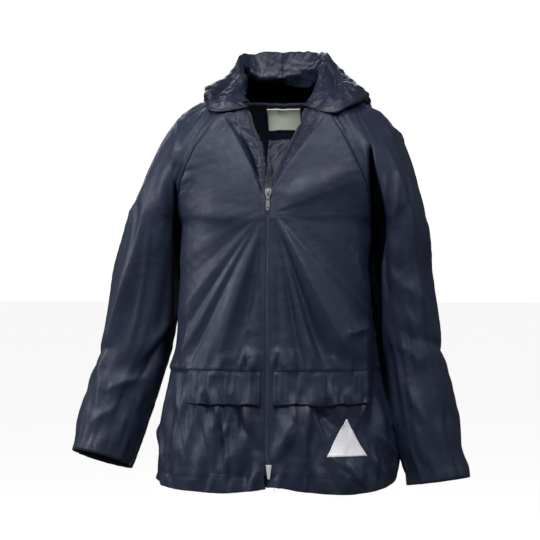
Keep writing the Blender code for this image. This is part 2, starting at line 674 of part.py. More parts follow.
def pull_tab(hinge, lean, metal):
    """Tapered tab whose top bar lies under the bail; its origin is on the hinge line."""
    foot = TAB_BAR / 2 - TAB_LENGTH
    side = [(TAB_WIDTH / 2 * wide, foot + TAB_LENGTH * along) for wide, along in TAB_OUTLINE]
    outline = side + [(-x, z) for x, z in side[::-1]]
    points, faces = prism(outline, -TAB_WALL / 2, TAB_WALL / 2)
    tab = make("zip_pull_tab", leaned(points + hinge, hinge, lean), faces, metal, origin=hinge)
    wide, tall = TAB_HOLE
    hole, faces = block((-wide / 2, -TAB_WALL, -TAB_BAR / 2 - tall), (wide / 2, TAB_WALL, -TAB_BAR / 2))
    combine(tab, leaned(hole + hinge, hinge, lean), faces, "DIFFERENCE", metal)


def zip_box(plastic):
    """Tapered retaining box at the zip's foot, in front of the tapes and the front's edge."""
    wide, deep, tall = BOX_SIZE
    depths = [body_row(z, np.array([0.0]))[0, 1] for z in (BOX_Z, BOX_Z + tall)]
    back = min(depths) - CLOTH / 2 - GAP - BOX_EASE
    outline = [(BOX_X - BOX_FOOT / 2, BOX_Z), (BOX_X + BOX_FOOT / 2, BOX_Z),
               (BOX_X + wide / 2, BOX_Z + tall), (BOX_X - wide / 2, BOX_Z + tall)]
    make("zip_box", *prism(outline, back - deep, back), plastic)


# ---- trims ----------------------------------------------------------------------------------------

def pocket_flap(built, side, nylon):
    panel = built["front_" + side]
    rows = [row_at(z) for z in np.linspace(FLAP_Z[1], FLAP_Z[0], FLAP_POINTS[0])]
    near, far = FLAP_X[side]
    ends = [[float(column_at(panel, row, x)) for x in (near, far)] for row in rows]
    columns = np.array([np.linspace(low, high, FLAP_POINTS[1]) for low, high in ends])
    lift = CLOTH + GAP + FLAP_EASE + FLAP_LIFT * np.linspace(1.0, 0.0, len(rows))[:, None]
    points, facing = on_panel(panel, np.array(rows)[:, None], columns, lift)
    sheet("pocket_flap_" + side, points, facing, nylon)


def reflective_triangle(built, film):
    panel = built["front_left"]
    heights = np.linspace(TRIANGLE_Z[1], TRIANGLE_Z[0], TRIANGLE_POINTS[0])
    rows = np.array([row_at(z) for z in heights])
    halves = np.linspace(TRIANGLE_BASE / 2, TRIANGLE_TIP / 2, len(heights))
    columns = []
    for row, half in zip(rows, halves):
        ends = [float(column_at(panel, row, TRIANGLE_X + side * half)) for side in (-1, 1)]
        columns.append(np.linspace(*ends, TRIANGLE_POINTS[1]))
    columns = np.array(columns)
    lift = (CLOTH + TRIANGLE_WALL) / 2 + STICKER_CLEAR
    points, facing = on_panel(panel, rows[:, None], columns, lift)
    sheet("reflective_triangle", points, facing, film, TRIANGLE_WALL)


def neck_label(built, cloth):
    """Blank label inside the back, below the neck seam."""
    panel = built["back"]
    grid = panel[0]
    middle = (grid.shape[1] - 1) // 2
    steps = np.arange(grid.shape[0])
    rows = np.interp(np.linspace(LABEL_Z[1], LABEL_Z[0], LABEL_POINTS[0]), grid[:, middle, 2], steps)
    across = np.linspace(-LABEL_WIDTH / 2, LABEL_WIDTH / 2, LABEL_POINTS[1])
    columns = []
    for row in rows:
        line = [np.interp(row, steps, grid[:, c, 0]) for c in range(grid.shape[1])]
        columns.append(np.interp(across, line, np.arange(len(line))))
    columns = np.array(columns)
    lift = -(CLOTH + LABEL_WALL) / 2 - STICKER_CLEAR
    points, facing = on_panel(panel, rows[:, None], columns, lift)
    sheet("neck_label", points, facing, cloth, LABEL_WALL)


def build():
    clear_scene()
    nylon = finish("coated nylon, navy", (0.022, 0.031, 0.060), 0.48)
    hood_nylon = finish("coated nylon, hood", (0.020, 0.028, 0.055), 0.42)
    tape_cloth = finish("zip tape", (0.012, 0.016, 0.030), 0.80)
    metal = finish("nickel-plated zinc", (0.62, 0.63, 0.65), 0.28, 1.0)
    film = finish("retroreflective film", (0.66, 0.66, 0.76), 0.35)
    plastic = finish("acetal zip box", (0.72, 0.72, 0.78), 0.40)
    label_cloth = finish("woven label", (0.58, 0.68, 0.50), 0.70)

    built = panels()
    seams = {"back": ("first", "last")}
    for side in SIDES:
        seams["front_" + side] = ("last",)
        seams["sleeve_" + side] = ("first", "last")
    for name, (grid, normals) in built.items():
        sheet(name, grid, normals, nylon, seams=seams[name])

    hoods = {side: hood_grid(built, side) for side in SIDES}
    for side, grid in hoods.items():
        middle = grid[:, -2] * (-1.0, 1.0, 1.0)
        normals = grid_normals(grid, None, middle)
        sheet("hood_" + side, grid, normals, hood_nylon, seams=("last",))
        sheet("zip_tape_" + side, *zip_tape(built, side), tape_cloth, TAPE_WALL)
        pocket_flap(built, side, nylon)

    zip_guard(built, nylon)
    zip_hardware(built, metal)
    zip_box(plastic)
    reflective_triangle(built, film)
    neck_label(built, label_cloth)


build()
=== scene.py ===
import itertools
import math

import bmesh
import bpy
import numpy as np
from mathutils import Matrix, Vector


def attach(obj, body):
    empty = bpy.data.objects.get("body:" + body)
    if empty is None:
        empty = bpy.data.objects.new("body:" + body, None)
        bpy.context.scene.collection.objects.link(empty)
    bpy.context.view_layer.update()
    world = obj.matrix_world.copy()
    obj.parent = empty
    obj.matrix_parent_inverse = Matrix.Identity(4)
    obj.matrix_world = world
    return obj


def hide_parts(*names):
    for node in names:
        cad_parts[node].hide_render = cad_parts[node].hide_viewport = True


# Child's hooded rain jacket, filled out as worn: coated nylon, raglan sleeves, hood lowered, zip open to
# the chest. Sizes and points are in millimetres and become metres when a mesh is made. The frame is the
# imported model's own: the origin is the middle of the neck base, +Z is up, the front faces -Y and +X is
# the wearer's left.
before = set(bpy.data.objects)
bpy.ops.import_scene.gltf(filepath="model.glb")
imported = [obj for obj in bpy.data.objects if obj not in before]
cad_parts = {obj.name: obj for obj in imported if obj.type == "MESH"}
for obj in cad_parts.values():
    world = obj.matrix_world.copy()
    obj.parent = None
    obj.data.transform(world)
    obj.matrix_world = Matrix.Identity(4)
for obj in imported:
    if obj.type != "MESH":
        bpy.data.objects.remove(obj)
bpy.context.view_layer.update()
MM = 0.001
SIDES = {"right": -1.0, "left": 1.0}

# ---- The cut of the body, sleeves and back ----------------------------------------------------------
# Five panels of one light cloth, cut as a raglan: the fronts and the back run up to the neck between the
# sleeves, and their seams meet under the arm. The jacket keeps the rounded, boxy form that it has as worn.
CLOTH = 0.9  # coated nylon with its facing, as thick as it shows
UNDERARM_Z = -158.0
ARMHOLE_LEAN = 12.0
UNDERARM_EASE = (3.0, 0.0, -2.0)
FRONT_EDGE = 5.0  # from the zip's middle to the edge of either front
ROUNDNESS = 2.4  # superellipse power of the body's level sections
DENT_REACH, DENT_BACK = 42.0, 16.0  # where the hanging arm presses the side in
HEM_CURVE_Z = -450.0
HEM_LIFT_TURNS = (0.0, 45.0, 90.0, 135.0, 180.0)
HEM_LIFT = (6.0, 3.0, 13.0, 6.0, 6.0)

# Level sections of the body: z, half width, front, back, dent at the side
BODY = np.array([
    (-158, 136, 108, 102, 12),
    (-225, 139, 112, 105, 17),
    (-300, 144, 114, 107, 12),
    (-364, 152, 117, 110, 8),
    (-406, 157, 119, 112, 5),
    (-450, 162, 121, 115, 0),
    (-490, 165, 123, 117, 0),
    (-522, 166, 124, 118, 0),
], dtype=float)
BODY_ROWS = (-522, -506, -490, -468, -446, -425, -402, -382, -362, -336, -308, -280, -252, -226,
             -203, -180, -158)

# Columns of the yoke from the underarm level to the neck: low control, high control, top point
FRONT_SEAM = {
    "left": ((150, -75, -145), (125, -100, -72), (78, -66, -3)),
    "right": ((148, -75, -145), (122, -98, -70), (71, -63, -1)),
}
BACK_SEAM = {
    "left": ((148, 84, -138), (108, 98, -44), (58, 47, 16)),
    "right": ((148, 84, -138), (106, 98, -44), (58, 47, 16)),
}
FRONT_YOKE = {
    "left": [((5, -108, -143), (5, -106, -128), (5, -104, -113)),
             ((68, -103, -132), (50, -104, -100), (29, -98, -73)),
             ((124, -76, -125), (92, -98, -75), (55, -88, -38)),
             FRONT_SEAM["left"]],
    "right": [((5, -108, -143), (5, -106, -128), (5, -104, -113)),
              ((68, -103, -132), (49, -104, -100), (27, -97, -72)),
              ((124, -76, -125), (90, -96, -72), (50, -84, -30)),
              FRONT_SEAM["right"]],
}
SLEEVE_YOKE = {
    "left": [FRONT_SEAM["left"],
             ((160, -74, -92), (132, -76, -14), (84, -42, 6)),
             ((188, 3, -62), (163, -2, 18), (82, -4, 17)),
             ((160, 72, -88), (130, 66, -6), (74, 28, 18)),
             BACK_SEAM["left"]],
    "right": [FRONT_SEAM["right"],
              ((157, -72, -96), (120, -74, -12), (80, -40, 6)),
              ((186, 3, -80), (152, -2, 18), (80, -4, 17)),
              ((157, 72, -92), (120, 66, -6), (72, 28, 18)),
              BACK_SEAM["right"]],
}
BACK_MIDDLE = [((0, 112, -112), (0, 100, -12), (0, 58, 14)),
               ((102, 93, -118), (66, 98, -22), (32, 55, 15))]
BACK_YOKE = {side: BACK_MIDDLE + [seam] for side, seam in BACK_SEAM.items()}
ZIP_EDGE = {
    "left": [(5, -101, -109), (12, -86, -80), (25, -71, -46), (46, -46, 3)],
    "right": [(5, -101, -109), (10, -96, -74), (17, -83, -38), (38, -54, 2)],
}
STRIP_BULGE = {"left": -5.0, "right": -2.0}

# Sections of the sleeves below the head: x, y, z, half width, half depth
SLEEVES = {
    "left": [(176, 4, -226, 42, 54), (195, 2, -327, 41, 50), (207, -4, -400, 43, 47), (223, -12, -512, 43, 43)],
    "right": [(182, 4, -226, 46, 54), (199, 1, -320, 49, 52), (220, -10, -396, 47, 49), (243, -33, -485, 43, 43)],
}
SLEEVE_HEAD = {"left": (39, 56), "right": (40, 56)}

# Rows and columns of each panel's coarse net, and how finely it is then drawn
FRONT_STATIONS = np.linspace(0.0, 1.0, 10)
BACK_STATIONS = np.linspace(0.0, 1.0, 7)
SLEEVE_TURNS = np.linspace(0.0, 360.0, 17)
YOKE_STEPS = np.linspace(0.0, 1.0, 9)[1:]
STRIP_STEPS = np.linspace(0.0, 1.0, 4)[1:]
TUBE_ROWS = 11
FINE = 9  # fine rows to each coarse one
FINE_COLUMNS = {"front": 100, "sleeve": 116, "back": 180}
SEAM_COLUMNS = (0.0, 0.0025, 0.0055, 0.009, 0.0135)  # closer columns beside each seam, as shares of the width
BODY_COUNT = (len(BODY_ROWS) - 1) * FINE + 1
TUBE_COUNT = (TUBE_ROWS - 1) * FINE + 1
YOKE_COUNT = len(YOKE_STEPS) * FINE
NECK_ROW = BODY_COUNT + YOKE_COUNT - 1  # a front's last row before the strip beside the open zip


def unit(vectors):
    return vectors / np.maximum(np.linalg.norm(vectors, axis=-1, keepdims=True), 1e-9)


def bell(value, reach, power=2):
    """1 where the value is nothing, dying away past the reach."""
    return np.exp(-((value / reach) ** power))


def through(rows, at):
    """Smooth curve through evenly spaced rows, read at parameters from 0 to 1."""
    rows = np.asarray(rows, dtype=float)
    at = np.atleast_1d(at) * (len(rows) - 1)
    cell = np.clip(at.astype(int), 0, len(rows) - 2)
    part = (at - cell).reshape((-1,) + (1,) * (rows.ndim - 1))
    slopes = np.gradient(rows, axis=0)
    low, high = rows[cell], rows[cell + 1]
    return ((1 + 2 * part) * (1 - part) ** 2 * low + part * (1 - part) ** 2 * slopes[cell]
            + part ** 2 * (3 - 2 * part) * high + part ** 2 * (part - 1) * slopes[cell + 1])


def mirrored(points, sign):
    return np.asarray(points, dtype=float) * (sign, 1.0, 1.0)


def body_row(z, turns):
    """Points of one level section; turn 0 is the middle of the front, 90 the side, 180 the back."""
    half, front, back, dent = (np.interp(-z, -BODY[:, 0], BODY[:, k]) for k in range(1, 5))
    angle = np.radians(turns)
    power = 2.0 / ROUNDNESS
    x = half * np.abs(np.sin(angle)) ** power
    depth = np.where(np.cos(angle) > 0, front, back)
    y = -depth * np.sign(np.cos(angle)) * np.abs(np.cos(angle)) ** power
    x = x - dent * bell(y - DENT_BACK, DENT_REACH) * np.sin(angle)
    lift = np.interp(turns, HEM_LIFT_TURNS, HEM_LIFT)
    drop = max(0.0, (HEM_CURVE_Z - z) / (HEM_CURVE_Z - BODY[-1, 0]))
    return np.stack([x, y, z + lift * drop], axis=-1)


def body_rows(turns):
    return np.array([body_row(z, turns) for z in BODY_ROWS])


def yoke_rows(bottom, controls, at, sign):
    """Rows from the underarm level up to the neck, one Bezier column for each station."""
    low, high, end = (through(mirrored([row[k] for row in controls], sign), at) for k in range(3))
    part = YOKE_STEPS.reshape(-1, 1, 1)
    return ((1 - part) ** 3 * bottom + 3 * part * (1 - part) ** 2 * low
            + 3 * part ** 2 * (1 - part) * high + part ** 3 * end)


def front_net(side):
    """One front, from hem to neckline, then the strip beside the open zip."""
    sign = SIDES[side]
    body = mirrored(body_rows(FRONT_STATIONS * 90.0), sign)
    body[:, 0, 0] = sign * FRONT_EDGE
    yoke = yoke_rows(body[-1], FRONT_YOKE[side], FRONT_STATIONS, sign)
    zip_edge = through(mirrored(ZIP_EDGE[side], sign), FRONT_STATIONS)
    part = STRIP_STEPS.reshape(-1, 1, 1)
    bulge = np.array([0.0, STRIP_BULGE[side], 0.0]) * FRONT_STATIONS[:, None]
    strip = yoke[-1] + (zip_edge - yoke[-1]) * part + 4 * part * (1 - part) * bulge
    return np.concatenate([body, yoke, strip])


def back_net():
    halves = []
    for side, sign in SIDES.items():
        body = mirrored(body_rows(180.0 - BACK_STATIONS * 90.0), sign)
        halves.append(np.concatenate([body, yoke_rows(body[-1], BACK_YOKE[side], BACK_STATIONS, sign)]))
    right, left = halves
    return np.concatenate([right[:, ::-1], left[:, 1:]], axis=1)


def sleeve_ring(section, direction, sign):
    """One section square to the sleeve; turn 0 is the underarm, 90 faces forward, 180 is the outer side."""
    outer = unit(np.array([sign, 0.0, 0.0]) - direction * direction[0] * sign)
    forward = np.cross(direction, outer) * sign
    forward = forward * -np.sign(forward[1])
    angle = np.radians(SLEEVE_TURNS)[:, None]
    return section[:3] - section[3] * np.cos(angle) * outer + section[4] * np.sin(angle) * forward


def sleeve_net(side):
    sign = SIDES[side]
    wide, deep = SLEEVE_HEAD[side]
    lean = math.radians(ARMHOLE_LEAN)
    underarm = mirrored(body_row(UNDERARM_Z, np.array([90.0]))[0] + UNDERARM_EASE, sign)
    head = underarm + wide * np.array([sign * math.cos(lean), 0.0, math.sin(lean)])
    sections = [(*head, wide, deep)] + [(sign * x, y, z, w, d) for x, y, z, w, d in SLEEVES[side]]
    placed = through(sections, np.linspace(0, 1, TUBE_ROWS))
    directions = unit(np.gradient(placed[:, :3], axis=0))
    directions[0] = (sign * math.sin(lean), 0.0, -math.cos(lean))
    tube = np.array([sleeve_ring(placed[k], directions[k], sign) for k in range(TUBE_ROWS)])[::-1]
    return np.concatenate([tube, yoke_rows(tube[-1], SLEEVE_YOKE[side], SLEEVE_TURNS / 360.0, sign)])


def drawn(net, kind):
    """A finer grid through a coarse net, with closer columns beside its seams."""
    inner = np.linspace(SEAM_COLUMNS[-1], 1.0 - SEAM_COLUMNS[-1], FINE_COLUMNS[kind])
    across = np.concatenate([SEAM_COLUMNS[:-1], inner, 1.0 - np.array(SEAM_COLUMNS[-2::-1])])
    rows = through(net, np.linspace(0, 1, (len(net) - 1) * FINE + 1))
    return np.swapaxes(through(np.swapaxes(rows, 0, 1), across), 0, 1)


def neighbours(grids, name):
    """The columns just past the first and last column of a panel, across its seams."""
    if name == "back":
        past = [np.concatenate([grids["front_" + side][:BODY_COUNT, -2], grids["sleeve_" + side][TUBE_COUNT:, -2]])
                for side in SIDES]
        return past[0], past[1]
    grid = grids[name]
    kind, side = name.split("_")
    beside = 1 if side == "right" else -2
    front, sleeve, back = grids["front_" + side], grids["sleeve_" + side], grids["back"]
    if kind == "sleeve":
        top = slice(BODY_COUNT, NECK_ROW + 1)
        before = np.concatenate([grid[:TUBE_COUNT, -2], front[top, -2]])
        return before, np.concatenate([grid[:TUBE_COUNT, 1], back[BODY_COUNT:, beside]])
    free = grid[NECK_ROW + 1:, -1]
    return grid[:, 0], np.concatenate([back[:BODY_COUNT, beside], sleeve[TUBE_COUNT:, 1], free])


def facing_out(name, grid, before=None, after=None):
    """Normals that point out of the jacket: the left front and sleeve run anticlockwise from above."""
    wide = [grid[:, :1] if before is None else before[:, None], grid,
            grid[:, -1:] if after is None else after[:, None]]
    wide = np.concatenate(wide, axis=1)
    normals = unit(np.cross(wide[:, 2:] - wide[:, :-2], np.gradient(grid, axis=0)))
    return normals * (1.0 if name.endswith("left") else -1.0)


flat = {"back": drawn(back_net(), "back")}
for side in SIDES:
    flat["front_" + side] = drawn(front_net(side), "front")
    flat["sleeve_" + side] = drawn(sleeve_net(side), "sleeve")
smooth = {name: (grid, facing_out(name, grid, *neighbours(flat, name))) for name, grid in flat.items()}

# ---- Folds and creases ------------------------------------------------------------------------------
# Light coated cloth hangs from the shoulders and the zip in long soft ridges, breaks at the elbows and
# over the pockets, puckers along every seam, and keeps small flat facets from being folded away.

# Largest folds, as the solids have them: start, end, height (a trough is negative), reach
FOLD_ENDS = 0.12
FOLDS = [
    ((12, -107, -150), (128, -80, -296), 4.5, 14.0),
    ((22, -110, -126), (104, -82, -88), 3.5, 14.0),
    ((118, -70, -335), (148, -30, -322), 4.5, 12.0),
    ((60, -112, -480), (88, -108, -522), 4.5, 13.0),
    ((110, -90, -480), (132, -75, -522), -4.0, 14.0),
    ((-28, -108, -152), (-96, -96, -148), 4.0, 14.0),
    ((-24, -110, -178), (-78, -108, -330), 3.5, 15.0),
    ((-10, -112, -180), (-40, -115, -320), -3.0, 13.0),
    ((-80, -108, -430), (-92, -105, -522), 4.5, 14.0),
    ((-38, -120, -420), (-30, -124, -522), -3.5, 13.0),
    ((-60, 104, -180), (-80, 106, -500), 5.0, 20.0),
    ((55, 106, -200), (72, 110, -510), 5.0, 20.0),
    ((0, 106, -160), (5, 118, -420), -4.0, 22.0),
    ((150, -52, -175), (190, -50, -215), 4.0, 12.0),
    ((212, -30, -300), (165, -30, -345), -4.0, 13.0),
    ((-205, -44, -205), (-232, -40, -330), 4.0, 14.0),
    ((-165, -38, -335), (-225, -44, -365), -4.5, 13.0),
]
# Creases of a piece as seen from one side: start and end (across, z), bow, height, width at each end
CREASES = {
    # over the pocket and down to the hem
    ("front_left", "front"): [
        ((100, -308), (143, -298), 2, 2.6, 3, 5), ((122, -318), (145, -307), 1, 2.2, 3, 4),
        ((15, -328), (8, -354), 1, 1.6, 2, 3), ((16, -334), (14, -356), 0, -1.4, 1.5, 2.5),
        ((17, -328), (24, -354), -1, 1.6, 2, 3), ((31, -326), (39, -356), 1, 1.4, 3, 4),
        ((57, -402), (81, -444), 2, -2.4, 2.5, 4), ((66, -400), (92, -432), -2, -1.6, 2, 3),
        ((42, -402), (14, -462), 2, 2.0, 3, 4), ((93, -482), (120, -514), 3, -2.2, 2.5, 4),
        ((106, -478), (128, -512), -2, 1.8, 2.5, 4), ((52, -312), (67, -356), 2, 1.6, 3, 5),
        ((84, -335), (90, -357), 1, 1.2, 3, 4), ((26, -404), (20, -505), 3, 1.9, 4, 7),
        ((56, -404), (52, -472), -3, 1.6, 4, 6), ((17, -404), (40, -452), -2, 1.3, 4, 6),
        ((80, -466), (116, -518), 3, 2.0, 4, 6), ((70, -478), (92, -521), 3, -1.5, 4, 6),
        ((124, -448), (152, -500), -3, 2.2, 4, 5), ((136, -438), (164, -480), 2, 1.8, 3, 5),
        ((112, -478), (139, -518), 3, 1.8, 4, 5), ((120, -96), (128, -190), 6, 1.4, 5, 8),
        ((118, -200), (136, -262), -4, 1.2, 5, 7), ((154, -396), (157, -440), 0, 2.4, 9, 9),
    ],
    # beside the opening, over the pocket and down to the hem
    ("front_right", "front"): [
        ((-47, -22), (-8, -119), 3, -3.4, 1.6, 1.2), ((-28, -326), (-37, -354), 1, 1.8, 2, 3),
        ((-29, -334), (-29, -356), 0, -1.6, 1.5, 2.5), ((-27, -326), (-19, -354), -1, 1.8, 2, 3),
        ((-64, -404), (-61, -490), 3, -2.0, 2.5, 4), ((-49, -404), (-60, -450), 2, 1.8, 2.5, 4),
        ((-41, -406), (-10, -466), -3, -2.0, 2.5, 4), ((-26, -285), (-48, -348), 3, 1.5, 4, 6),
        ((-16, -325), (-19, -357), 1, 1.3, 3, 4), ((-58, -334), (-64, -357), 1, 1.2, 3, 4),
        ((-112, -262), (-128, -350), 4, 1.3, 6, 8), ((-65, -404), (-74, -440), 1, 1.5, 3, 5),
        ((-30, -404), (-26, -462), 2, 1.9, 4, 6), ((-92, -404), (-110, -500), -4, 1.7, 5, 8),
        ((-50, -440), (-60, -520), 2, 1.5, 5, 7), ((-124, -440), (-140, -512), 4, 1.5, 5, 6),
        ((-12, -480), (-34, -518), 2, 1.4, 4, 5),
    ],
    # down the arms
    ("sleeve_right", "front"): [
        ((-180, -136), (-243, -340), 7, 2.8, 5, 9), ((-243, -332), (-246, -412), 3, 2.0, 7, 6),
        ((-140, -280), (-193, -378), 5, -3.0, 5, 7), ((-149, -288), (-190, -348), 3, 2.4, 5, 6),
        ((-133, -16), (-134, -80), 2, 2.4, 3, 4), ((-150, -110), (-168, -200), 5, 1.8, 5, 8),
        ((-196, -150), (-214, -262), 4, 1.4, 5, 7), ((-182, -372), (-236, -392), -5, 2.0, 4, 6),
        ((-214, -404), (-256, -432), 3, 1.6, 4, 6), ((-206, -420), (-222, -470), 2, 1.4, 4, 6),
    ],
    ("sleeve_left", "front"): [
        ((155, -58), (196, -210), 6, 2.2, 4, 6), ((176, -70), (214, -190), 5, -2.0, 3, 5),
        ((160, -150), (166, -262), -3, -2.4, 3, 4), ((182, -262), (200, -392), 4, -1.8, 4, 5),
        ((192, -276), (212, -360), 4, 1.8, 3, 5), ((154, -94), (146, -196), 2, 2.4, 4, 5),
        ((168, -92), (158, -196), 3, 2.0, 4, 5), ((204, -190), (216, -330), -5, 1.8, 6, 9),
        ((166, -214), (214, -262), -5, 1.6, 6, 8), ((172, -300), (222, -326), 4, -1.2, 5, 6),
        ((176, -322), (220, -356), 3, 0.9, 4, 6), ((188, -368), (232, -452), -4, 1.8, 5, 7),
        ((200, -420), (212, -486), 2, 1.4, 4, 6), ((148, -26), (166, -42), 1, 1.6, 3, 4),
        ((156, -22), (176, -44), 1, 1.4, 3, 4),
    ],
    # their outer sides
    ("sleeve_right", "right"): [
        ((-40, -100), (12, -300), 8, 2.0, 6, 9), ((36, -130), (22, -290), -6, 1.8, 6, 8),
        ((-46, -330), (14, -362), 4, -2.2, 5, 6), ((-6, -350), (-38, -460), -4, 1.8, 5, 7),
    ],
    ("sleeve_left", "left"): [
        ((-30, -90), (6, -280), 7, 2.0, 6, 9), ((38, -140), (14, -300), 5, 1.8, 6, 8),
        ((-40, -318), (34, -352), 4, -2.2, 5, 6), ((8, -350), (-14, -480), 4, 1.8, 5, 7),
    ],
    # the back, and the arms from behind
    ("back", "back"): [
        ((-96, -60), (-44, -262), 8, 2.2, 6, 10), ((98, -60), (56, -248), -7, 2.0, 6, 10),
        ((-20, -130), (-34, -330), 4, 1.8, 6, 10), ((34, -150), (26, -370), -4, 1.6, 6, 10),
        ((-118, -180), (-96, -360), 5, 1.6, 6, 9), ((120, -190), (104, -350), -4, 1.6, 6, 9),
        ((-70, -330), (-104, -512), -6, 2.0, 6, 9), ((-12, -380), (-20, -518), 3, 1.6, 6, 8),
        ((44, -372), (60, -516), 4, 1.8, 6, 9), ((96, -384), (124, -508), 4, 1.8, 6, 8),
    ],
    ("sleeve_right", "back"): [
        ((-150, -90), (-196, -262), 6, 2.0, 6, 9), ((-172, -300), (-236, -332), 5, -2.2, 5, 6),
        ((-190, -330), (-234, -440), -4, 1.8, 5, 7),
    ],
    ("sleeve_left", "back"): [
        ((150, -88), (186, -270), 6, 2.0, 6, 9), ((166, -306), (226, -334), -5, -2.2, 5, 6),
        ((182, -330), (222, -470), -4, 1.8, 5, 7),
    ],
}
CREASE_LIFT = 2.7
CREASE_BREADTH = 1.6  # of the written widths, from the crest to where its sides die away
CREASE_CREST = 0.1  # how rounded the crest is, as a share of the width
CREASE_POINTS = 9
CREASE_REACH = 3.0  # a crease is nothing past this many widths
CREASE_ENDS, CREASE_TAPER = 0.04, 0.7  # how near to nothing its ends come, and how quickly
FACES_VIEW = 0.05  # cosine past which cloth counts as seen from one side
NOISE_CELLS = 24
FACET_DIRECTIONS = 7
FACET_WAVES = (0.8, 1.7)  # shortest and longest wave, as shares of the size
FACET_FLATNESS = 0.95
VIEWS = {"front": (0, (0, -1, 0)), "back": (0, (0, 1, 0)), "left": (1, (1, 0, 0)), "right": (1, (-1, 0, 0))}


def soft_noise(points, size, seed):
    """Smooth noise from -1 to 1 over points, with features of one size."""
    lattice = np.random.default_rng(seed).uniform(-1, 1, (NOISE_CELLS,) * 3)
    at = points / size
    cell = np.floor(at).astype(int)
    part = at - cell
    part = part * part * (3 - 2 * part)
    total = np.zeros(points.shape[:-1])
    for corner in itertools.product((0, 1), repeat=3):
        share = np.prod(np.where(corner, part, 1 - part), axis=-1)
        i, j, k = np.moveaxis((cell + corner) % NOISE_CELLS, -1, 0)
        total += share * lattice[i, j, k]
    return total


def facets(points, size, seed):
    """Flat facets with soft edges, in patches, as nylon keeps from being folded away."""
    random = np.random.default_rng(seed)
    drift = np.stack([soft_noise(points, size * 2.2, seed + k) for k in range(1, 4)], axis=-1)
    moved = points + drift * size * 0.5
    total = np.zeros(points.shape[:-1])
    for k in range(FACET_DIRECTIONS):
        wave = moved @ unit(random.normal(size=3)) * (2 * math.pi / size / random.uniform(*FACET_WAVES))
        planes = np.arcsin(FACET_FLATNESS * np.sin(wave + random.uniform(0, 6)))
        total += planes * soft_noise(points, size * 2.5, seed + 9 + k)
    return total / math.sqrt(FACET_DIRECTIONS)


def crumple(points, layers, start=0.0):
    """Layers of facets, each with its height, size and seed, on top of a starting height."""
    return sum((height * facets(points, size, seed) for height, size, seed in layers), start)


def crease_line(panel, view, start, end, bow):
    """Points of a bowed line laid on a smooth surface, as seen from one side."""
    grid, normals = panel
    axis, looking = VIEWS[view]
    start, end = np.array(start, dtype=float), np.array(end, dtype=float)
    along = np.linspace(0, 1, CREASE_POINTS)[:, None]
    square = unit(np.array([start[1] - end[1], end[0] - start[0]]))
    drawn_line = start + (end - start) * along + square * 4 * along * (1 - along) * bow
    seen = normals @ np.array(looking, dtype=float) > FACES_VIEW
    points = grid[seen]
    gaps = (points[None, :, axis] - drawn_line[:, :1]) ** 2 + (points[None, :, 2] - drawn_line[:, 1:]) ** 2
    return points[np.argmin(gaps, axis=1)]


def ridge(points, line, height, start_width, end_width):
    """Height of one ridge or trough with a crisp crest and long straight sides, nothing at its ends."""
    shift = np.zeros(points.shape[:-1])
    start_width, end_width = start_width * CREASE_BREADTH, end_width * CREASE_BREADTH
    reach = CREASE_REACH * max(start_width, end_width)
    near = np.all((points > line.min(axis=0) - reach) & (points < line.max(axis=0) + reach), axis=-1)
    chosen = points[near]
    if not len(chosen):
        return shift
    best = np.full(len(chosen), np.inf)
    where = np.zeros(len(chosen))
    for k in range(len(line) - 1):
        step = line[k + 1] - line[k]
        along = np.clip((chosen - line[k]) @ step / max(step @ step, 1e-6), 0.0, 1.0)
        away = np.linalg.norm(chosen - line[k] - along[:, None] * step, axis=1)
        closer = away < best
        best = np.where(closer, away, best)
        where = np.where(closer, (k + along) / (len(line) - 1), where)
    width = start_width + (end_width - start_width) * where
    taper = np.sin(math.pi * (CREASE_ENDS + (1 - 2 * CREASE_ENDS) * where)) ** CREASE_TAPER
    away = np.sqrt((best / width) ** 2 + CREASE_CREST ** 2) - CREASE_CREST
    shift[near] = height * taper * np.clip(1 - away / CREASE_REACH, 0.0, 1.0) ** CREASE_REACH
    return shift


def fold_height(points, lines):
    """Height at points of the largest folds and of the creases."""
    shift = np.zeros(points.shape[:-1])
    for start, end, height, reach in FOLDS:
        start, end = np.array(start, dtype=float), np.array(end, dtype=float)
        line = end - start
        along = np.clip(((points - start) @ line) / (line @ line), 0.0, 1.0)
        away = np.linalg.norm(points - start - along[..., None] * line, axis=-1)
        taper = np.sin(math.pi * (FOLD_ENDS + (1 - 2 * FOLD_ENDS) * along))
        shift += height * bell(away, reach) * taper
    for line, height, start_width, end_width in lines:
        shift += ridge(points, line, CREASE_LIFT * height, start_width, end_width)
    return shift


crease_lines = [(crease_line(smooth[name], view, *row[:3]), *row[3:])
                for (name, view), rows in CREASES.items() for row in rows]

SEWN_EDGES = {"back": ("first", "last"), "front": ("last",), "sleeve": ("first", "last")}
PUCKER, PUCKER_PITCH, PUCKER_REACH = 1.3, 11.0, 15.0  # puckers beside a sewn seam
SEAM_DIP, SEAM_DIP_REACH = 2.1, 1.8  # the seam itself lies a little lower
HEM_ROWS = {"back": (20.0,), "front": (20.0,), "sleeve": (20.0, 86.0)}  # rows of stitching above each hem
HEM_RIPPLE, HEM_PITCH, HEM_REACH = 1.9, 12.0, 14.0
HEM_SIDES = (105.0, 30.0)  # from this far out, over this length, the puckers double
HEM_DIP = 0.15
TURNED_IN = 0.15  # cloth turned in, under a hem or behind the zip's edge, stands prouder
ZIP_RIPPLE, ZIP_PITCH, ZIP_REACH = 0.5, 8.0, 15.0  # puckers where the tape holds the edge short
POCKET_Z = -357.0  # seam across each front, over the pocket
POCKET_RIPPLE, POCKET_PITCH, POCKET_REACH = 2.2, 7.0, 15.0
POCKET_LIP, POCKET_LIP_REACH = 3.3, 14.0  # above the flap the cloth is as high as the flap's top edge
POCKET_FOOT, FOOT_PITCH, FOOT_REACH = 56.0, 9.0, 18.0  # the pocket's lower edge, below its seam


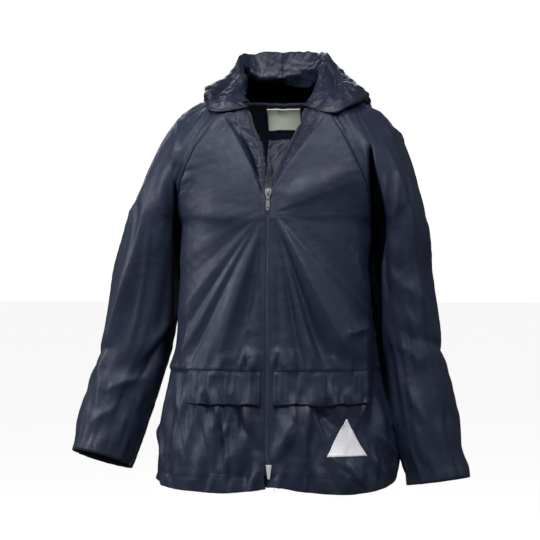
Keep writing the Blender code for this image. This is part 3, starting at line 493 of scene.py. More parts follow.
def puckers(edge, pitch):
    """Uneven puckers along a sewn edge, the same for both pieces that share it."""
    return soft_noise(edge, pitch, 31) + 0.5 * soft_noise(edge, pitch * 0.55, 32)


def from_edge(grid, edge):
    """Distance of every point of a grid from one edge, and that edge's own points."""
    if edge in ("bottom", "top"):
        away, line = from_edge(np.swapaxes(grid, 0, 1), {"bottom": "first", "top": "last"}[edge])
        return away.T, line
    steps = np.linalg.norm(np.diff(grid, axis=1), axis=2)
    away = np.concatenate([np.zeros((len(grid), 1)), np.cumsum(steps, axis=1)], axis=1)
    return (away[:, -1:] - away, grid[:, -1]) if edge == "last" else (away, grid[:, 0])


def rising(value, start, width):
    part = np.clip((value - start) / width, 0.0, 1.0)
    return part * part * (3 - 2 * part)


def sewn_height(name, grid):
    """Puckers, dips and turned-up hems along a panel's edges."""
    kind = name.split("_")[0]
    shift = np.zeros(grid.shape[:2])
    for edge in SEWN_EDGES[kind]:
        away, line = from_edge(grid, edge)
        ripple = PUCKER * puckers(line, PUCKER_PITCH)[:, None]
        shift += ripple * np.exp(-away / PUCKER_REACH) - SEAM_DIP * bell(away, SEAM_DIP_REACH)
    away, line = from_edge(grid, "bottom")
    for row in HEM_ROWS[kind]:
        ripple = HEM_RIPPLE * (puckers(line, HEM_PITCH) * (1 + rising(np.abs(line[:, 0]), *HEM_SIDES)))[None, :]
        shift += ripple * bell(away - row, HEM_REACH)
        shift -= HEM_DIP * bell(away - row, SEAM_DIP_REACH)
    if kind == "front":
        away, line = from_edge(grid, "first")
        shift += ZIP_RIPPLE * puckers(line, ZIP_PITCH)[:, None] * bell(away, ZIP_REACH)
        above = grid[..., 2] - POCKET_Z
        shift += POCKET_RIPPLE * bell(above, POCKET_REACH) * soft_noise(grid * (1.0, 0.0, 0.12), POCKET_PITCH, 35)
        lip = np.exp(-np.maximum(above, 0.0) / POCKET_LIP_REACH)
        shift += POCKET_LIP * lip / (1 + np.exp(-np.clip(above * 2.5, -30, 30)))
        foot = bell(above + POCKET_FOOT, FOOT_REACH)
        shift += POCKET_RIPPLE * foot * soft_noise(grid * (1.0, 0.0, 0.15), FOOT_PITCH, 36)
    shift += TURNED_IN / (1 + np.exp(np.clip(away - HEM_ROWS[kind][0] + 1.0, -20, 20) * 2.0))
    return shift


DRAPE_LIFT = {"front": 6.0, "back": 6.5, "sleeve": 4.6}
DRAPE_FADE = 13.0
FILM_MIDDLE, FILM_REACH = (106.0, -449.0), 34.0  # across and z of the reflective film
HELD_FLAT = 0.85  # the stiff film keeps the cloth behind it flat
LOW_Z, LOW_REACH = -392.0, 8.0  # below the pockets the fan gives way to folds that hang straight
# Flat planes that spread over the fronts from just below the slider: angle from straight down, positive
# to the wearer's left, and the height there once a plane has spread
FAN_FROM = {"left": (9.0, -143.0), "right": (-6.0, -143.0)}
FAN = np.array([
    (-180, 0.0), (-150, -0.6), (-115, 1.2), (-95, 0.9), (-78, 0.2), (-62, 0.6), (-50, -1.0), (-41, 0.8),
    (-35, -1.4), (-31, 0.6), (-27, -2.4), (-16.5, 3.6), (-9, -2.6), (-3.3, 0.6), (0, 0.0), (3, -1.0), (6, 1.4),
    (10.2, -3.2), (14.5, 2.4), (18, -3.8), (20, -1.8), (26, 8.6), (31, 5.4), (39.5, -2.6), (50, -1.2), (60, -0.2),
    (70, 0.4), (80, 0.4), (90, -0.2), (100, 0.7), (112, 3.0), (125, 1.2), (138, -0.4), (150, -1.2), (180, 0.0),
])
FAN_SPREAD = 110.0  # distance over which the planes spread
FAN_LIFT = 2.2
FAN_CRISP = 1.1  # millimetres over which the edge between two planes turns
FAN_SOFT = 7.0  # level with the slider the planes run into each other, between these angles
SOFT_RIGHT, SOFT_LEFT, SOFT_END = (55.0, 25.0), (60.0, 15.0), (97.0, 10.0)
FAN_NEAREST = 6.0
FRONT_TENTS = ((0.33, 0.33), 0.2, 27.0, 95)  # how far they lean, how drawn out they are, size, seed
BACK_TENTS = ((0.22, 0.2), 0.12, 31.0, 91)
FAN_HELD, HELD_SHARE = (-357.0, 45.0), 0.3  # the pocket seam holds the cloth flatter
WANDER_OUT, WANDER_DOWN = (60.0, 120.0), (-165.0, 80.0)  # where finer ridges begin and over what length


def ridged(across, along, size, seed):
    """Long crisp ridges that run along one direction and wander across the other."""
    spots = np.stack([across, along, np.full_like(across, 7.0)], axis=-1)
    bend = soft_noise(spots * (0.2, 1.0, 1.0), size * 2.0, seed + 1)
    spots[..., 0] += bend * size * 0.5
    return 0.42 - np.sqrt(soft_noise(spots, size, seed) ** 2 + 0.005)


def leaning(x, z, leans, stretch, size, seed):
    """Two sets of ridges that lean either way off the vertical and meet like tents."""
    return np.maximum(ridged(x + z * leans[0], z * stretch, size, seed),
                      ridged(x - z * leans[1], z * stretch, size, seed + 2))


def drape_height(name, grid):
    """Folds in which the cloth hangs: fanned from the slider, straight down the back and along the arms."""
    kind = name.split("_")[0]
    x, z = grid[..., 0], grid[..., 2]
    if kind == "front":
        from_x, from_z = FAN_FROM[name.split("_")[1]]
        reach = np.hypot(x - from_x, z - from_z)
        turn = np.degrees(np.arctan2(x - from_x, from_z - z))
        blur = np.degrees(FAN_CRISP / np.maximum(reach, FAN_NEAREST))
        level_left = rising(turn, *SOFT_LEFT) * (1 - rising(turn, *SOFT_END))
        blur *= 1 + FAN_SOFT * (rising(-turn, *SOFT_RIGHT) + level_left)
        planes = sum(np.interp(turn + k * blur, FAN[:, 0], FAN[:, 1]) for k in (-1, 0, 0, 1)) / 4
        planes *= 1 - np.exp(-reach / FAN_SPREAD)
        planes *= HELD_SHARE + (1 - HELD_SHARE) * rising(z, *FAN_HELD)
        fan = FAN_LIFT * planes / DRAPE_LIFT[kind]
        wandering = np.clip((reach - WANDER_OUT[0]) / WANDER_OUT[1], 0.0, 1.0)
        wandering = wandering * np.clip((WANDER_DOWN[0] - z) / WANDER_DOWN[1], 0.0, 1.0)
        fan += 0.6 * wandering * ridged(np.radians(turn) * 150.0, reach * 0.13, 15.0, 81)
        hang = 2.7 * leaning(x, z, *FRONT_TENTS) + 1.1 * ridged(x, z * 0.2, 12.0, 83)
        low = 1 / (1 + np.exp(np.clip((z - LOW_Z) / LOW_REACH, -30, 30)))
        shift = fan * (1 - low) + hang * low
    elif kind == "back":
        down = rising(-z, 60.0, 420.0)
        shift = leaning(x, z, *BACK_TENTS) * (0.5 + 0.5 * down) + 0.35 * ridged(x, z * 0.14, 16.0, 85)
    else:
        around = from_edge(grid, "first")[0]
        shift = ridged(around, z * 0.12, 15.0, 87 if name.endswith("left") else 89)
    if name == "front_left":
        shift *= 1 - HELD_FLAT * bell(np.hypot(x - FILM_MIDDLE[0], z - FILM_MIDDLE[1]), FILM_REACH, 4)
    edges = np.minimum(from_edge(grid, "last")[0],
                       np.inf if kind == "front" else from_edge(grid, "first")[0])
    return DRAPE_LIFT[kind] * shift * (1 - bell(edges, DRAPE_FADE))


# Beside each arm the cloth falls back into a deep fold: from and to (across), depth, top and foot
ARM_FOLD = {"left": (131.0, 152.0, 48.0, -50.0, -365.0), "right": (131.0, 141.0, 24.0, -92.0, -280.0)}
ARM_IN = {"left": (8.0, -165.0, -462.0), "right": (0.0, -185.0, -470.0)}  # how far it hangs in, top and foot
ARM_TUCK = 1.35  # its inner back part comes in further, as a share
TUCK_BEHIND, TUCK_BELOW = (4.0, 24.0), (205.0, 45.0)  # where that part begins, and over what length
ARM_TOP_RAMP, ARM_FOOT_RAMP = 60.0, 40.0
SIDE_FROM, SIDE_ENDS = (110.0, 45.0), (200.0, 50.0)  # the body's side follows it in, down to here
FOLD_OPENS = 110.0  # below its top the fold opens to its full width over this length
FOLD_NARROW = 0.15  # its width at the top, as a share
FOLD_TURN = 5.0
FOLD_BOTTOM = {"front": 3.0, "sleeve": 13.0}
FOLD_RAMP = 24.0
FOLD_FOOT_RAMP = 75.0


def fallen_back(name, grid):
    """Lets the cloth between the front and the arm fall back, and the arm and the body's side come in."""
    moved = grid.copy()
    if name == "back":
        inward, high, _ = ARM_IN["left"]
        z = grid[..., 2]
        inward = inward * rising(-z, -high, ARM_TOP_RAMP) * (1 - rising(-z, *SIDE_ENDS))
        moved[..., 0] -= inward * rising(grid[..., 0], *SIDE_FROM)
        return moved
    kind, side = name.split("_")
    first, last, depth, top, foot = ARM_FOLD[side]
    x, y, z = grid[..., 0] * SIDES[side], grid[..., 1], grid[..., 2]
    share = rising(x, first, FOLD_TURN) * rising(-z, -top, FOLD_RAMP) * (1 - rising(-z, -foot, FOLD_FOOT_RAMP))
    inward, high, low = ARM_IN[side]
    inward = inward * rising(-z, -high, ARM_TOP_RAMP) * (1 - rising(-z, -low, ARM_FOOT_RAMP))
    if kind == "sleeve":
        inward = inward * (1 + ARM_TUCK * rising(y, *TUCK_BEHIND) * rising(-z, *TUCK_BELOW))
        last = first + (last - first) * (FOLD_NARROW + (1 - FOLD_NARROW) * rising(-z, -top, FOLD_OPENS))
        share = share * (1 - rising(x, last, FOLD_TURN))
    else:
        inward = inward * rising(x, *SIDE_FROM) * (1 - rising(-z, *SIDE_ENDS))
    moved[..., 0] -= SIDES[side] * inward
    moved[..., 1] = y + share * np.clip(FOLD_BOTTOM[kind] - y, 0.0, depth)
    return moved


ZIP_BAND = 9.0  # the tape holds the cloth flat this far from each front's edge
NECK_CRUMPLE = (-42.0, 36.0)  # from this height up, over this length, the cloth is crumpled by the hood
SLIDER_TOP = -112.0  # above it the zip is open
STRIP_CRUMPLE = 30.0  # over this length above the slider the strips crumple
STRIP_DROP = {"left": 3.0, "right": 9.0}  # the strips lie this far behind the fronts
STRIP_DROP_TOP = (-22.0, 18.0)
PANEL_FACETS = ((0.35, 26.0, 5), (0.22, 11.0, 6))
NECK_FACETS = ((1.5, 11.0, 73), (0.7, 5.5, 74))


def past_neck(grid):
    """How many rows each row of a front lies into the strip beside the open zip."""
    return np.arange(len(grid))[:, None] - NECK_ROW


def crumpled(name, grid):
    """How far each point lies in the crumpled cloth of the neck and of the strips beside the open zip."""
    share = rising(grid[..., 2], *NECK_CRUMPLE) * float(name != "back")
    if name.startswith("front"):
        strip = rising(past_neck(grid), -3.0, 6.0) * rising(grid[..., 2], SLIDER_TOP, STRIP_CRUMPLE)
        share = np.maximum(share, strip)
    return share


def dropped(name, grid):
    """How far the strip beside the open zip lies behind the front that it joins."""
    z = grid[..., 2]
    share = STRIP_DROP[name.split("_")[1]] * rising(past_neck(grid), -1.5, 3.0)
    return share * rising(z, SLIDER_TOP, 16.0) * (1 - rising(z, *STRIP_DROP_TOP))


bent = {}
for name, (grid, normals) in smooth.items():
    shift = sewn_height(name, grid) + drape_height(name, grid)
    if name.startswith("front"):
        shift *= 1 - bell(from_edge(grid, "first")[0], ZIP_BAND)
        shift -= dropped(name, grid)
    shift += crumple(grid, PANEL_FACETS, fold_height(grid, crease_lines))
    shift += crumpled(name, grid) * crumple(grid, NECK_FACETS)
    bent[name] = fallen_back(name, grid + normals * shift[..., None])
panels = {name: (grid, facing_out(name, grid, *neighbours(bent, name))) for name, grid in bent.items()}

# ---- Coated nylon panels ----------------------------------------------------------------------------
# The five panels are plain-weave nylon with a dark coating on the inner side, so that the outside takes a
# soft satin light and keeps small crumples. Each is a thin wall on its folded form, sewn to its neighbours.


def linear(shade):
    """Linear colour from an sRGB hex value."""
    parts = [int(shade[k:k + 2], 16) / 255 for k in (1, 3, 5)]
    return [c / 12.92 if c <= 0.04045 else ((c + 0.055) / 1.055) ** 2.4 for c in parts] + [1.0]


def add(tree, kind, inputs=(), **settings):
    """Adds a node; an input that is given another node's socket is linked to it."""
    node = tree.nodes.new(kind)
    for key, value in settings.items():
        setattr(node, key, value)
    for key, value in dict(inputs).items():
        if isinstance(value, bpy.types.NodeSocket):
            tree.links.new(value, node.inputs[key])
        else:
            node.inputs[key].default_value = value
    return node


def new_material(name):
    """A material with its node tree and its shader."""
    made = bpy.data.materials.new(name)
    made.use_nodes = True
    return made, made.node_tree, made.node_tree.nodes["Principled BSDF"]


def coloured(tree, shader, share, shades):
    """Mixes the shader's colour from two by another node's socket."""
    mixed = add(tree, "ShaderNodeMix", {0: share, 6: linear(shades[0]), 7: linear(shades[1])}, data_type="RGBA")
    tree.links.new(mixed.outputs[2], shader.inputs["Base Color"])


def raised(tree, shader, height, strength, distance, below=None, invert=False):
    """Gives the shader a relief, on top of another one where there is one below."""
    inputs = {"Height": height, "Strength": strength, "Distance": distance}
    if below is not None:
        inputs["Normal"] = below
    bump = add(tree, "ShaderNodeBump", inputs, invert=invert)
    tree.links.new(bump.outputs["Normal"], shader.inputs["Normal"])
    return bump.outputs["Normal"]


def varied(tree, shader, share, roughness, spread, read=(0.0, 1.0)):
    """Varies the shader's roughness to either side by another node's socket, read between two values."""
    rough = add(tree, "ShaderNodeMapRange", {"Value": share, "From Min": read[0], "From Max": read[1],
                                             "To Min": roughness - spread, "To Max": roughness + spread})
    tree.links.new(rough.outputs["Result"], shader.inputs["Roughness"])


def patterned(name, kind, inputs, shades, surface, on="cut", read="Fac", relief=None, **settings):
    """A material whose colour, and relief where it has one, follow one texture on the cut or on the piece."""
    made, tree, shader = new_material(name)
    if on == "cut":
        place = add(tree, "ShaderNodeUVMap", uv_map="cut").outputs["UV"]
    else:
        place = add(tree, "ShaderNodeTexCoord").outputs["Object"]
    pattern = add(tree, "ShaderNodeTex" + kind, {"Vector": place, **inputs}, **settings).outputs[read]
    coloured(tree, shader, pattern, shades)
    if relief is not None:
        raised(tree, shader, pattern, **relief)
    for key, value in surface.items():
        shader.inputs[key].default_value = value
    return made


def coated_nylon(name, shades, roughness, crinkle):
    """Satin coated nylon: cloudy colour, uneven gloss, fine crinkles and a plain weave."""
    made, tree, shader = new_material(name)
    place = add(tree, "ShaderNodeTexCoord").outputs["Object"]
    cut = add(tree, "ShaderNodeUVMap", uv_map="cut").outputs["UV"]
    cloud = add(tree, "ShaderNodeTexNoise", {"Vector": place, "Scale": 26.0, "Detail": 4.0, "Roughness": 0.6})
    coloured(tree, shader, cloud.outputs["Fac"], shades)
    gloss = add(tree, "ShaderNodeTexNoise", {"Vector": place, "Scale": 95.0, "Detail": 3.0})
    varied(tree, shader, gloss.outputs["Fac"], roughness, 0.07, read=(0.3, 0.7))
    # crinkles about 7 mm across with finer ones in them
    creased = add(tree, "ShaderNodeTexNoise", {"Vector": place, "Scale": 150.0, "Detail": 5.0, "Roughness": 0.62,
                                               "Distortion": 0.6})
    # yarns are 0.2 mm apart; drawn 1.3 mm apart so that they show
    warp, weft = (add(tree, "ShaderNodeTexWave", {"Vector": cut, "Scale": 240.0, "Distortion": 0.4, "Detail": 1.0},
                      bands_direction=direction) for direction in "XY")
    weave = add(tree, "ShaderNodeMath", {0: warp.outputs["Fac"], 1: weft.outputs["Fac"]}, operation="MULTIPLY")
    woven = raised(tree, shader, weave.outputs["Value"], 0.12, 0.00015)
    raised(tree, shader, creased.outputs["Fac"], crinkle, 0.0012, below=woven)
    shader.inputs["IOR"].default_value = 1.5
    shader.inputs["Specular IOR Level"].default_value = 0.34
    return made


NYLON = coated_nylon("coated nylon, navy, satin", ("#1c2336", "#242c41"), 0.5, 0.3)
# the inner side's finish; on the outside of the left front's strip beside the open zip it is painted shade
COATING_AND_PAINTED_SHADE = coated_nylon("coated nylon, inner side and painted shade, navy", ("#151a2b", "#1c2236"), 0.5, 0.5)


def linked(name, data):
    """A new object in the scene."""
    made = bpy.data.objects.new(name, data)
    bpy.context.scene.collection.objects.link(made)
    return made


def shell(name, grid, normals, thickness, finishes, slot="shell", inside=(0, 0), turned=None):
    """A closed wall of the jacket on a grid of middle points, in millimetres.

    Its rim takes the first finish, or the last where it is inside. From the row given as turned, its outer side
    takes the darker last finish too, as painted shade.
    """
    across, along = grid[1:-1, 2:] - grid[1:-1, :-2], grid[2:, 1:-1] - grid[:-2, 1:-1]
    if np.sum(np.cross(across, along) * normals[1:-1, 1:-1]) < 0:
        grid, normals = grid[:, ::-1], normals[:, ::-1]
    rows, columns = grid.shape[:2]
    half = normals * thickness / 2
    points = np.concatenate([(grid + half).reshape(-1, 3), (grid - half).reshape(-1, 3)])
    index = np.arange(rows * columns).reshape(rows, columns)
    outer = np.stack([index[:-1, :-1], index[:-1, 1:], index[1:, 1:], index[1:, :-1]], axis=-1).reshape(-1, 4)
    inner = outer[:, ::-1] + rows * columns
    rim = np.concatenate([index[0], index[1:, -1], index[-1, -2::-1], index[-2:0:-1, 0]])
    after = np.roll(rim, -1)
    edge = np.stack([rim, rim + rows * columns, after + rows * columns, after], axis=-1)
    faces = np.concatenate([outer, inner, edge])
    sides = [columns - 1, rows - 1, columns - 1, rows - 1]
    kinds = np.repeat([0, len(finishes) - 1, inside[0], 0, inside[1], 0], [len(outer), len(inner), *sides])
    # from this row the outside takes the darker finish: painted shade
    if turned is not None:
        kinds[turned * (columns - 1):len(outer)] = len(finishes) - 1
    u = from_edge(grid, "first")[0] * MM
    v = from_edge(grid, "bottom")[0] * MM
    cut = np.stack([u, v], axis=-1).reshape(-1, 2)[faces.ravel() % (rows * columns)]
    mesh = bpy.data.meshes.new(name)
    mesh.from_pydata((points * MM).tolist(), [], faces.tolist())
    for finish in finishes:
        mesh.materials.append(finish)
    mesh.polygons.foreach_set("material_index", kinds.astype(np.int32))
    mesh.uv_layers.new(name="cut").data.foreach_set("uv", cut.astype(np.float32).ravel())
    mesh.shade_smooth()
    made = linked(name, mesh)
    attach(made, "jacket")
    return made


EDGE_SHOWN = 3.2  # below the slider each front's edge comes this near the middle
EDGE_OPENS = (-114.0, 13.0)  # up to this height, over this length
EDGE_AT_HEM = 0.15
EDGE_MEETS = (-513.0, 1.6)
EDGE_REACH = 26.0
BOX_ROOM, BOX_MIDDLE, BOX_REACH = 5.5, -490.0, 13.0  # the left edge turns back beside the moulded box
HEM_WAVE = ((14.0, 5.0, 24.0), (-62.0, -3.0, 34.0), (104.0, -3.0, 40.0))  # middle, rise and reach across
HEM_WAVE_FROM = (470.0, 45.0)


def closed_over(grid, sign):
    """A front whose zip edge comes in over the teeth below the slider and closes at the hem."""
    z = grid[..., 2]
    shown = EDGE_SHOWN + (FRONT_EDGE - EDGE_SHOWN) * bell(z - EDGE_OPENS[0], EDGE_OPENS[1])
    shown = np.where(z > SLIDER_TOP, FRONT_EDGE, shown)
    meeting = 1 + np.exp(np.clip((z - EDGE_MEETS[0]) / EDGE_MEETS[1], -30, 30))
    shown = shown + (EDGE_AT_HEM - shown) / meeting
    if sign > 0:
        shown = shown + BOX_ROOM * bell(z - BOX_MIDDLE, BOX_REACH, 4)
    near = np.clip(1 - (np.abs(grid[..., 0]) - FRONT_EDGE) / EDGE_REACH, 0.0, 1.0)
    near = near * near * (3 - 2 * near)
    moved = grid.copy()
    moved[..., 0] -= sign * (FRONT_EDGE - shown) * near
    moved[..., 2] += rising(-z, *HEM_WAVE_FROM) * sum(rise * bell(grid[..., 0] - middle, reach)
                                                      for middle, rise, reach in HEM_WAVE)
    return moved


for name, (grid, normals) in panels.items():
    kind = name.split("_")[0]
    if kind == "front":
        grid = closed_over(grid, SIDES[name.split("_")[1]])
    # on the left front the strip beside the open zip takes the darker inner-side finish on its outside: painted
    # shade
    made = shell("cloth_" + name, grid, normals, CLOTH, (NYLON, COATING_AND_PAINTED_SHADE), inside=(0, int(kind == "back")),
                 turned=NECK_ROW + 2 if name == "front_left" else None)
    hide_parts(name)

# ---- Hood -------------------------------------------------------------------------------------------
# Two halves of the same nylon with a glossier coat, its colour darker than the body's as painted shade,
# sewn to the neckline and thrown back. Each half falls over the yoke, turns at its lowest line and comes up
# to the face edge, whose wide hem is turned in.
THROAT = -0.25
HOOD = {
    "left": [(-0.25, 3, (49, -52, 8), (47, -46, 12), (44, -42, 10), (43, -41, 8)),
             (0.0, 9, (82, -62, 14), (56, -38, 24), (52, -33, 20), (50, -30, 18)),
             (0.2, 30, (104, -36, 30), (60, -20, 36), (55, -15, 31), (53, -12, 28)),
             (0.4, 46, (112, -4, 38), (63, 0, 54), (57, 4, 48), (55, 9, 43)),
             (0.6, 74, (92, 62, 42), (67, 31, 84), (60, 28, 77), (58, 38, 64)),
             (0.8, 112, (62, 106, 20), (42, 58, 92), (37, 44, 64), (38, 53, 39)),
             (1.0, 126, (0, 122, 8), (0, 66, 96), (0, 40, 52), (0, 54, 45))],
    "right": [(-0.25, 3, (41, -60, 8), (38, -54, 11), (35, -50, 9), (34, -49, 7)),
              (0.0, 9, (76, -60, 14), (50, -36, 26), (46, -31, 22), (44, -28, 20)),
              (0.2, 18, (94, -34, 32), (49, -22, 34), (44, -17, 29), (42, -14, 26)),
              (0.4, 20, (96, -4, 38), (52, -6, 50), (46, -2, 44), (45, 3, 39)),
              (0.6, 66, (70, 62, 44), (60, 32, 84), (53, 29, 72), (54, 38, 64)),
              (0.8, 108, (60, 106, 20), (41, 58, 92), (35, 44, 55), (36, 55, 47)),
              (1.0, 126, (0, 122, 8), (0, 66, 96), (0, 40, 52), (0, 54, 45))],
}
HOOD_CLEAR = 4.0
HOOD_EASE = 4.5
HOOD_EASE_LENGTH = 25.0
HOOD_TURN = 9.0
HOOD_FULL_FALL = 30.0
HOOD_UNEVEN = 6.0  # how unevenly it falls
BACK_SEAM_STATION = 0.6
THROAT_SHARE = 2 / 9  # of a front's width that the hood's first stations lie over
HOOD_STATIONS = np.concatenate([np.linspace(THROAT, 0.0, 16)[:-1], np.linspace(0.0, 1.0, 110)])
INNER_STEPS = np.linspace(0.0, 1.0, 30)
TURN_STEPS = np.linspace(0.0, math.pi, 9)[1:]
OUTER_STEPS = np.linspace(0.0, 1.0, 48)[1:]
BRIM_STEPS = np.linspace(0.0, 1.0, 27)[1:]
THROAT_ROUNDS, THROAT_COLUMNS = 40, 46  # smoothing round the front raglan, which the cloth bridges
EDGE_ROUNDS = 4  # smoothing passes that round the face edge
HOOD_SEWN = 0.9  # at the neck seam the hood lies this far off the panels


def on_panel(panel, rows, columns, lift):
    """Points moved out from a panel and their normals, read at fractional rows and columns."""
    grid, normals = panel
    rows, columns, lift = np.broadcast_arrays(np.asarray(rows, dtype=float), columns, lift)
    r = np.clip(rows.astype(int), 0, grid.shape[0] - 2)
    c = np.clip(columns.astype(int), 0, grid.shape[1] - 2)
    fr, fc = (rows - r)[..., None], (columns - c)[..., None]

    def read(field):
        low = field[r, c] * (1 - fc) + field[r, c + 1] * fc
        high = field[r + 1, c] * (1 - fc) + field[r + 1, c + 1] * fc
        return low * (1 - fr) + high * fr

    facing = unit(read(normals))
    return read(grid) + facing * lift[..., None], facing


def line_below(side, station):
    """Yoke points and normals from the neck edge downwards, where a hood station meets it."""
    if station < 0:
        panel = panels["front_" + side]
        last = panel[0].shape[1] - 1
        row = NECK_ROW + station / THROAT * len(STRIP_STEPS) * FINE
        return on_panel(panel, row, np.linspace(last, last * (1 - THROAT_SHARE), 24), 0.0)
    if station <= BACK_SEAM_STATION:
        panel = panels["sleeve_" + side]
        column = station / BACK_SEAM_STATION * (panel[0].shape[1] - 1)
    else:
        panel = panels["back"]
        middle = (panel[0].shape[1] - 1) / 2
        column = middle + SIDES[side] * middle * (1 - station) / (1 - BACK_SEAM_STATION)
    top = panel[0].shape[0] - 1
    return on_panel(panel, np.arange(top, top - YOKE_COUNT, -1), column, 0.0)


def walk(points, normals, distances, lift):
    """Points at distances along a line, lifted along its normals, and those normals."""
    steps = np.concatenate([[0.0], np.cumsum(np.linalg.norm(np.diff(points, axis=0), axis=1))])
    place = np.stack([np.interp(distances, steps, points[:, k]) for k in range(3)], axis=-1)
    facing = unit(np.stack([np.interp(distances, steps, normals[:, k]) for k in range(3)], axis=-1))
    return place + facing * np.asarray(lift, dtype=float)[:, None], facing


def hood_grid(side):
    """One half of the hood: down over the yoke, round the turn, up to the face edge and into its hem."""
    table = HOOD[side]
    keys = [row[0] for row in table]
    at = np.interp(HOOD_STATIONS, keys, np.arange(len(keys))) / (len(keys) - 1)
    fall = through([[row[1]] for row in table], at)[:, 0]
    outer, edge, fold, end = (through(mirrored([row[k] for row in table], SIDES[side]), at) for k in (2, 3, 4, 5))
    fall = fall + HOOD_UNEVEN * np.clip(fall / 15.0, 0, 1) * soft_noise(outer * (1.0, 1.0, 0.2), 15.0, 51)
    columns = []
    for k, station in enumerate(HOOD_STATIONS):
        turn = HOOD_TURN * min(1.0, fall[k] / HOOD_FULL_FALL)
        clear = HOOD_CLEAR + HOOD_EASE * (1 - np.exp(-fall[k] * INNER_STEPS / HOOD_EASE_LENGTH))
        depths = [0.0, *(fall[k] * INNER_STEPS), *(fall[k] + turn / 2 * np.sin(TURN_STEPS))]
        lifts = [HOOD_SEWN, *clear, *(clear[-1] + turn / 2 * (1 - np.cos(TURN_STEPS)))]
        under = walk(*line_below(side, station), depths, lifts)[0]
        over = through([under[-1], outer[k], edge[k]], OUTER_STEPS)
        turned = np.stack([np.interp(BRIM_STEPS, (0.0, 0.65, 1.0), (edge[k][i], fold[k][i], end[k][i]))
                           for i in range(3)], axis=-1)
        columns.append(np.concatenate([under, over, turned]))
    grid = np.stack(columns, axis=1)
    rounded = slice(-len(BRIM_STEPS) - 5, None)
    for _ in range(EDGE_ROUNDS):
        middle = (grid[:-2] + 2 * grid[1:-1] + grid[2:]) / 4
        grid[1:-1][rounded] = middle[rounded]
    free = np.clip((np.arange(len(grid)) - 2) / 8.0, 0.0, 1.0)[:, None, None]
    for _ in range(THROAT_ROUNDS):
        middle = (grid[:, :-2] + 2 * grid[:, 1:-1] + grid[:, 2:]) / 4
        grid[:, 1:THROAT_COLUMNS] += free * (middle - grid[:, 1:-1])[:, :THROAT_COLUMNS - 1]
    return grid


def hood_normals(grids, side):
    """Normals of one half, with the other half past the middle seam."""
    other = grids["left" if side == "right" else "right"][:, -2:-1]
    wide = np.concatenate([grids[side][:, :1], grids[side], other], axis=1)
    normals = unit(np.cross(wide[:, 2:] - wide[:, :-2], np.gradient(grids[side], axis=0)))
    return normals * SIDES[side]


# Troughs between the upright part and the part thrown over the shoulder, and ridges across that, as seen
# from the front: start and end (across, z), bow, height, width at each end
HOOD_CREASES = {
    "right": [((-57, 66), (-82, 12), -3, -3.2, 3, 6), ((-70, 40), (-104, 26), 2, -1.8, 2, 4),
              ((-76, 30), (-100, 12), -2, 1.6, 3, 4), ((-52, 84), (-50, 30), 2, 1.2, 3, 4)],
    "left": [((72, 62), (86, 10), 3, -2.2, 3, 5), ((80, 44), (112, 24), -2, -1.8, 2, 4),
             ((84, 34), (110, 12), 2, 1.6, 3, 4), ((60, 80), (64, 22), -2, 1.2, 3, 4)],
}
HOOD_FACETS = ((2.6, 26.0, 41), (1.5, 12.0, 43), (0.5, 6.0, 47))
HOOD_LOOSENS, BRIM_STARTS, BRIM_REACH = 10.0, 6.0, 12.0  # in fine rows
BRIM_PUCKER, BRIM_PITCH = 0.6, 9.0
SEAM_SUNK, SEAM_SUNK_REACH = 0.4, 2.0  # the hood's middle seam
# the hood's nylon is coloured darker than the same nylon on the body: painted shade
SHADED_HOOD_NYLON = coated_nylon("coated nylon, hood, glossy, painted darker for shade", ("#171c2d", "#1f2538"), 0.37, 0.5)
hoods = {side: hood_grid(side) for side in SIDES}
creased_hoods = {}
for side, grid in hoods.items():
    normals = hood_normals(hoods, side)
    under = 1 + len(INNER_STEPS)
    from_turn = (np.arange(len(grid)) - under)[:, None]
    from_brim = (np.arange(len(grid)) - len(grid) + len(BRIM_STEPS))[:, None]
    loose = np.clip(from_turn / HOOD_LOOSENS, 0.0, 1.0)
    brim = np.clip(from_brim / BRIM_STARTS, 0.0, 1.0)
    shift = loose * crumple(grid, HOOD_FACETS)
    facing = (grid[under:], normals[under:])
    for start, end, bow, height, start_width, end_width in HOOD_CREASES[side]:
        line = crease_line(facing, "front", start, end, bow)
        shift += loose * ridge(grid, line, CREASE_LIFT * height, start_width, end_width)
    shift += brim * facets(grid, 9.0, 45)
    shift += bell(from_brim, BRIM_REACH) * BRIM_PUCKER * puckers(grid[-len(BRIM_STEPS)], BRIM_PITCH)[None, :]
    shift -= loose * SEAM_SUNK * bell(from_edge(grid, "last")[0], SEAM_SUNK_REACH)
    creased_hoods[side] = grid + normals * shift[..., None]
for side, grid in creased_hoods.items():
    normals = hood_normals(creased_hoods, side)
    made = shell("hood_cloth_" + side, grid, normals, CLOTH, (SHADED_HOOD_NYLON, COATING_AND_PAINTED_SHADE), "hood", (1, 0))
    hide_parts("hood_" + side)

# ---- Pocket flaps -----------------------------------------------------------------------------------
# A doubled strip of the same nylon covers each pocket opening. It is sewn into a level seam along its top
# and hangs free below, a little off the front, with its ends caught down.
FLAP_Z = (-358.0, -402.0)
FLAP_X = {"left": (9.0, 128.0), "right": (9.0, 109.0)}
FLAP_LIFT, FLAP_GAP = 2.0, 0.25
FLAP_WALL = 1.0
FLAP_SUNK, FLAP_SUNK_REACH = 3.0, 2.2  # its top edge goes into the seam
FLAP_TUCKED = 2.6  # and up behind the cloth above it
FLAP_ENDS = 9.0  # its ends are held down over this length
FLAP_ROWS, FLAP_COLUMNS = 26, 84


def column_at(name, row, x):
    """Fractional column of a front where its level row passes the given distance from the middle."""
    grid = smooth[name][0]
    r = min(int(row), grid.shape[0] - 2)
    line = np.abs(grid[r, :, 0] * (1 - row + r) + grid[r + 1, :, 0] * (row - r))
    reach = int(np.argmax(line))
    return np.interp(x, line[:reach + 1], np.arange(reach + 1))


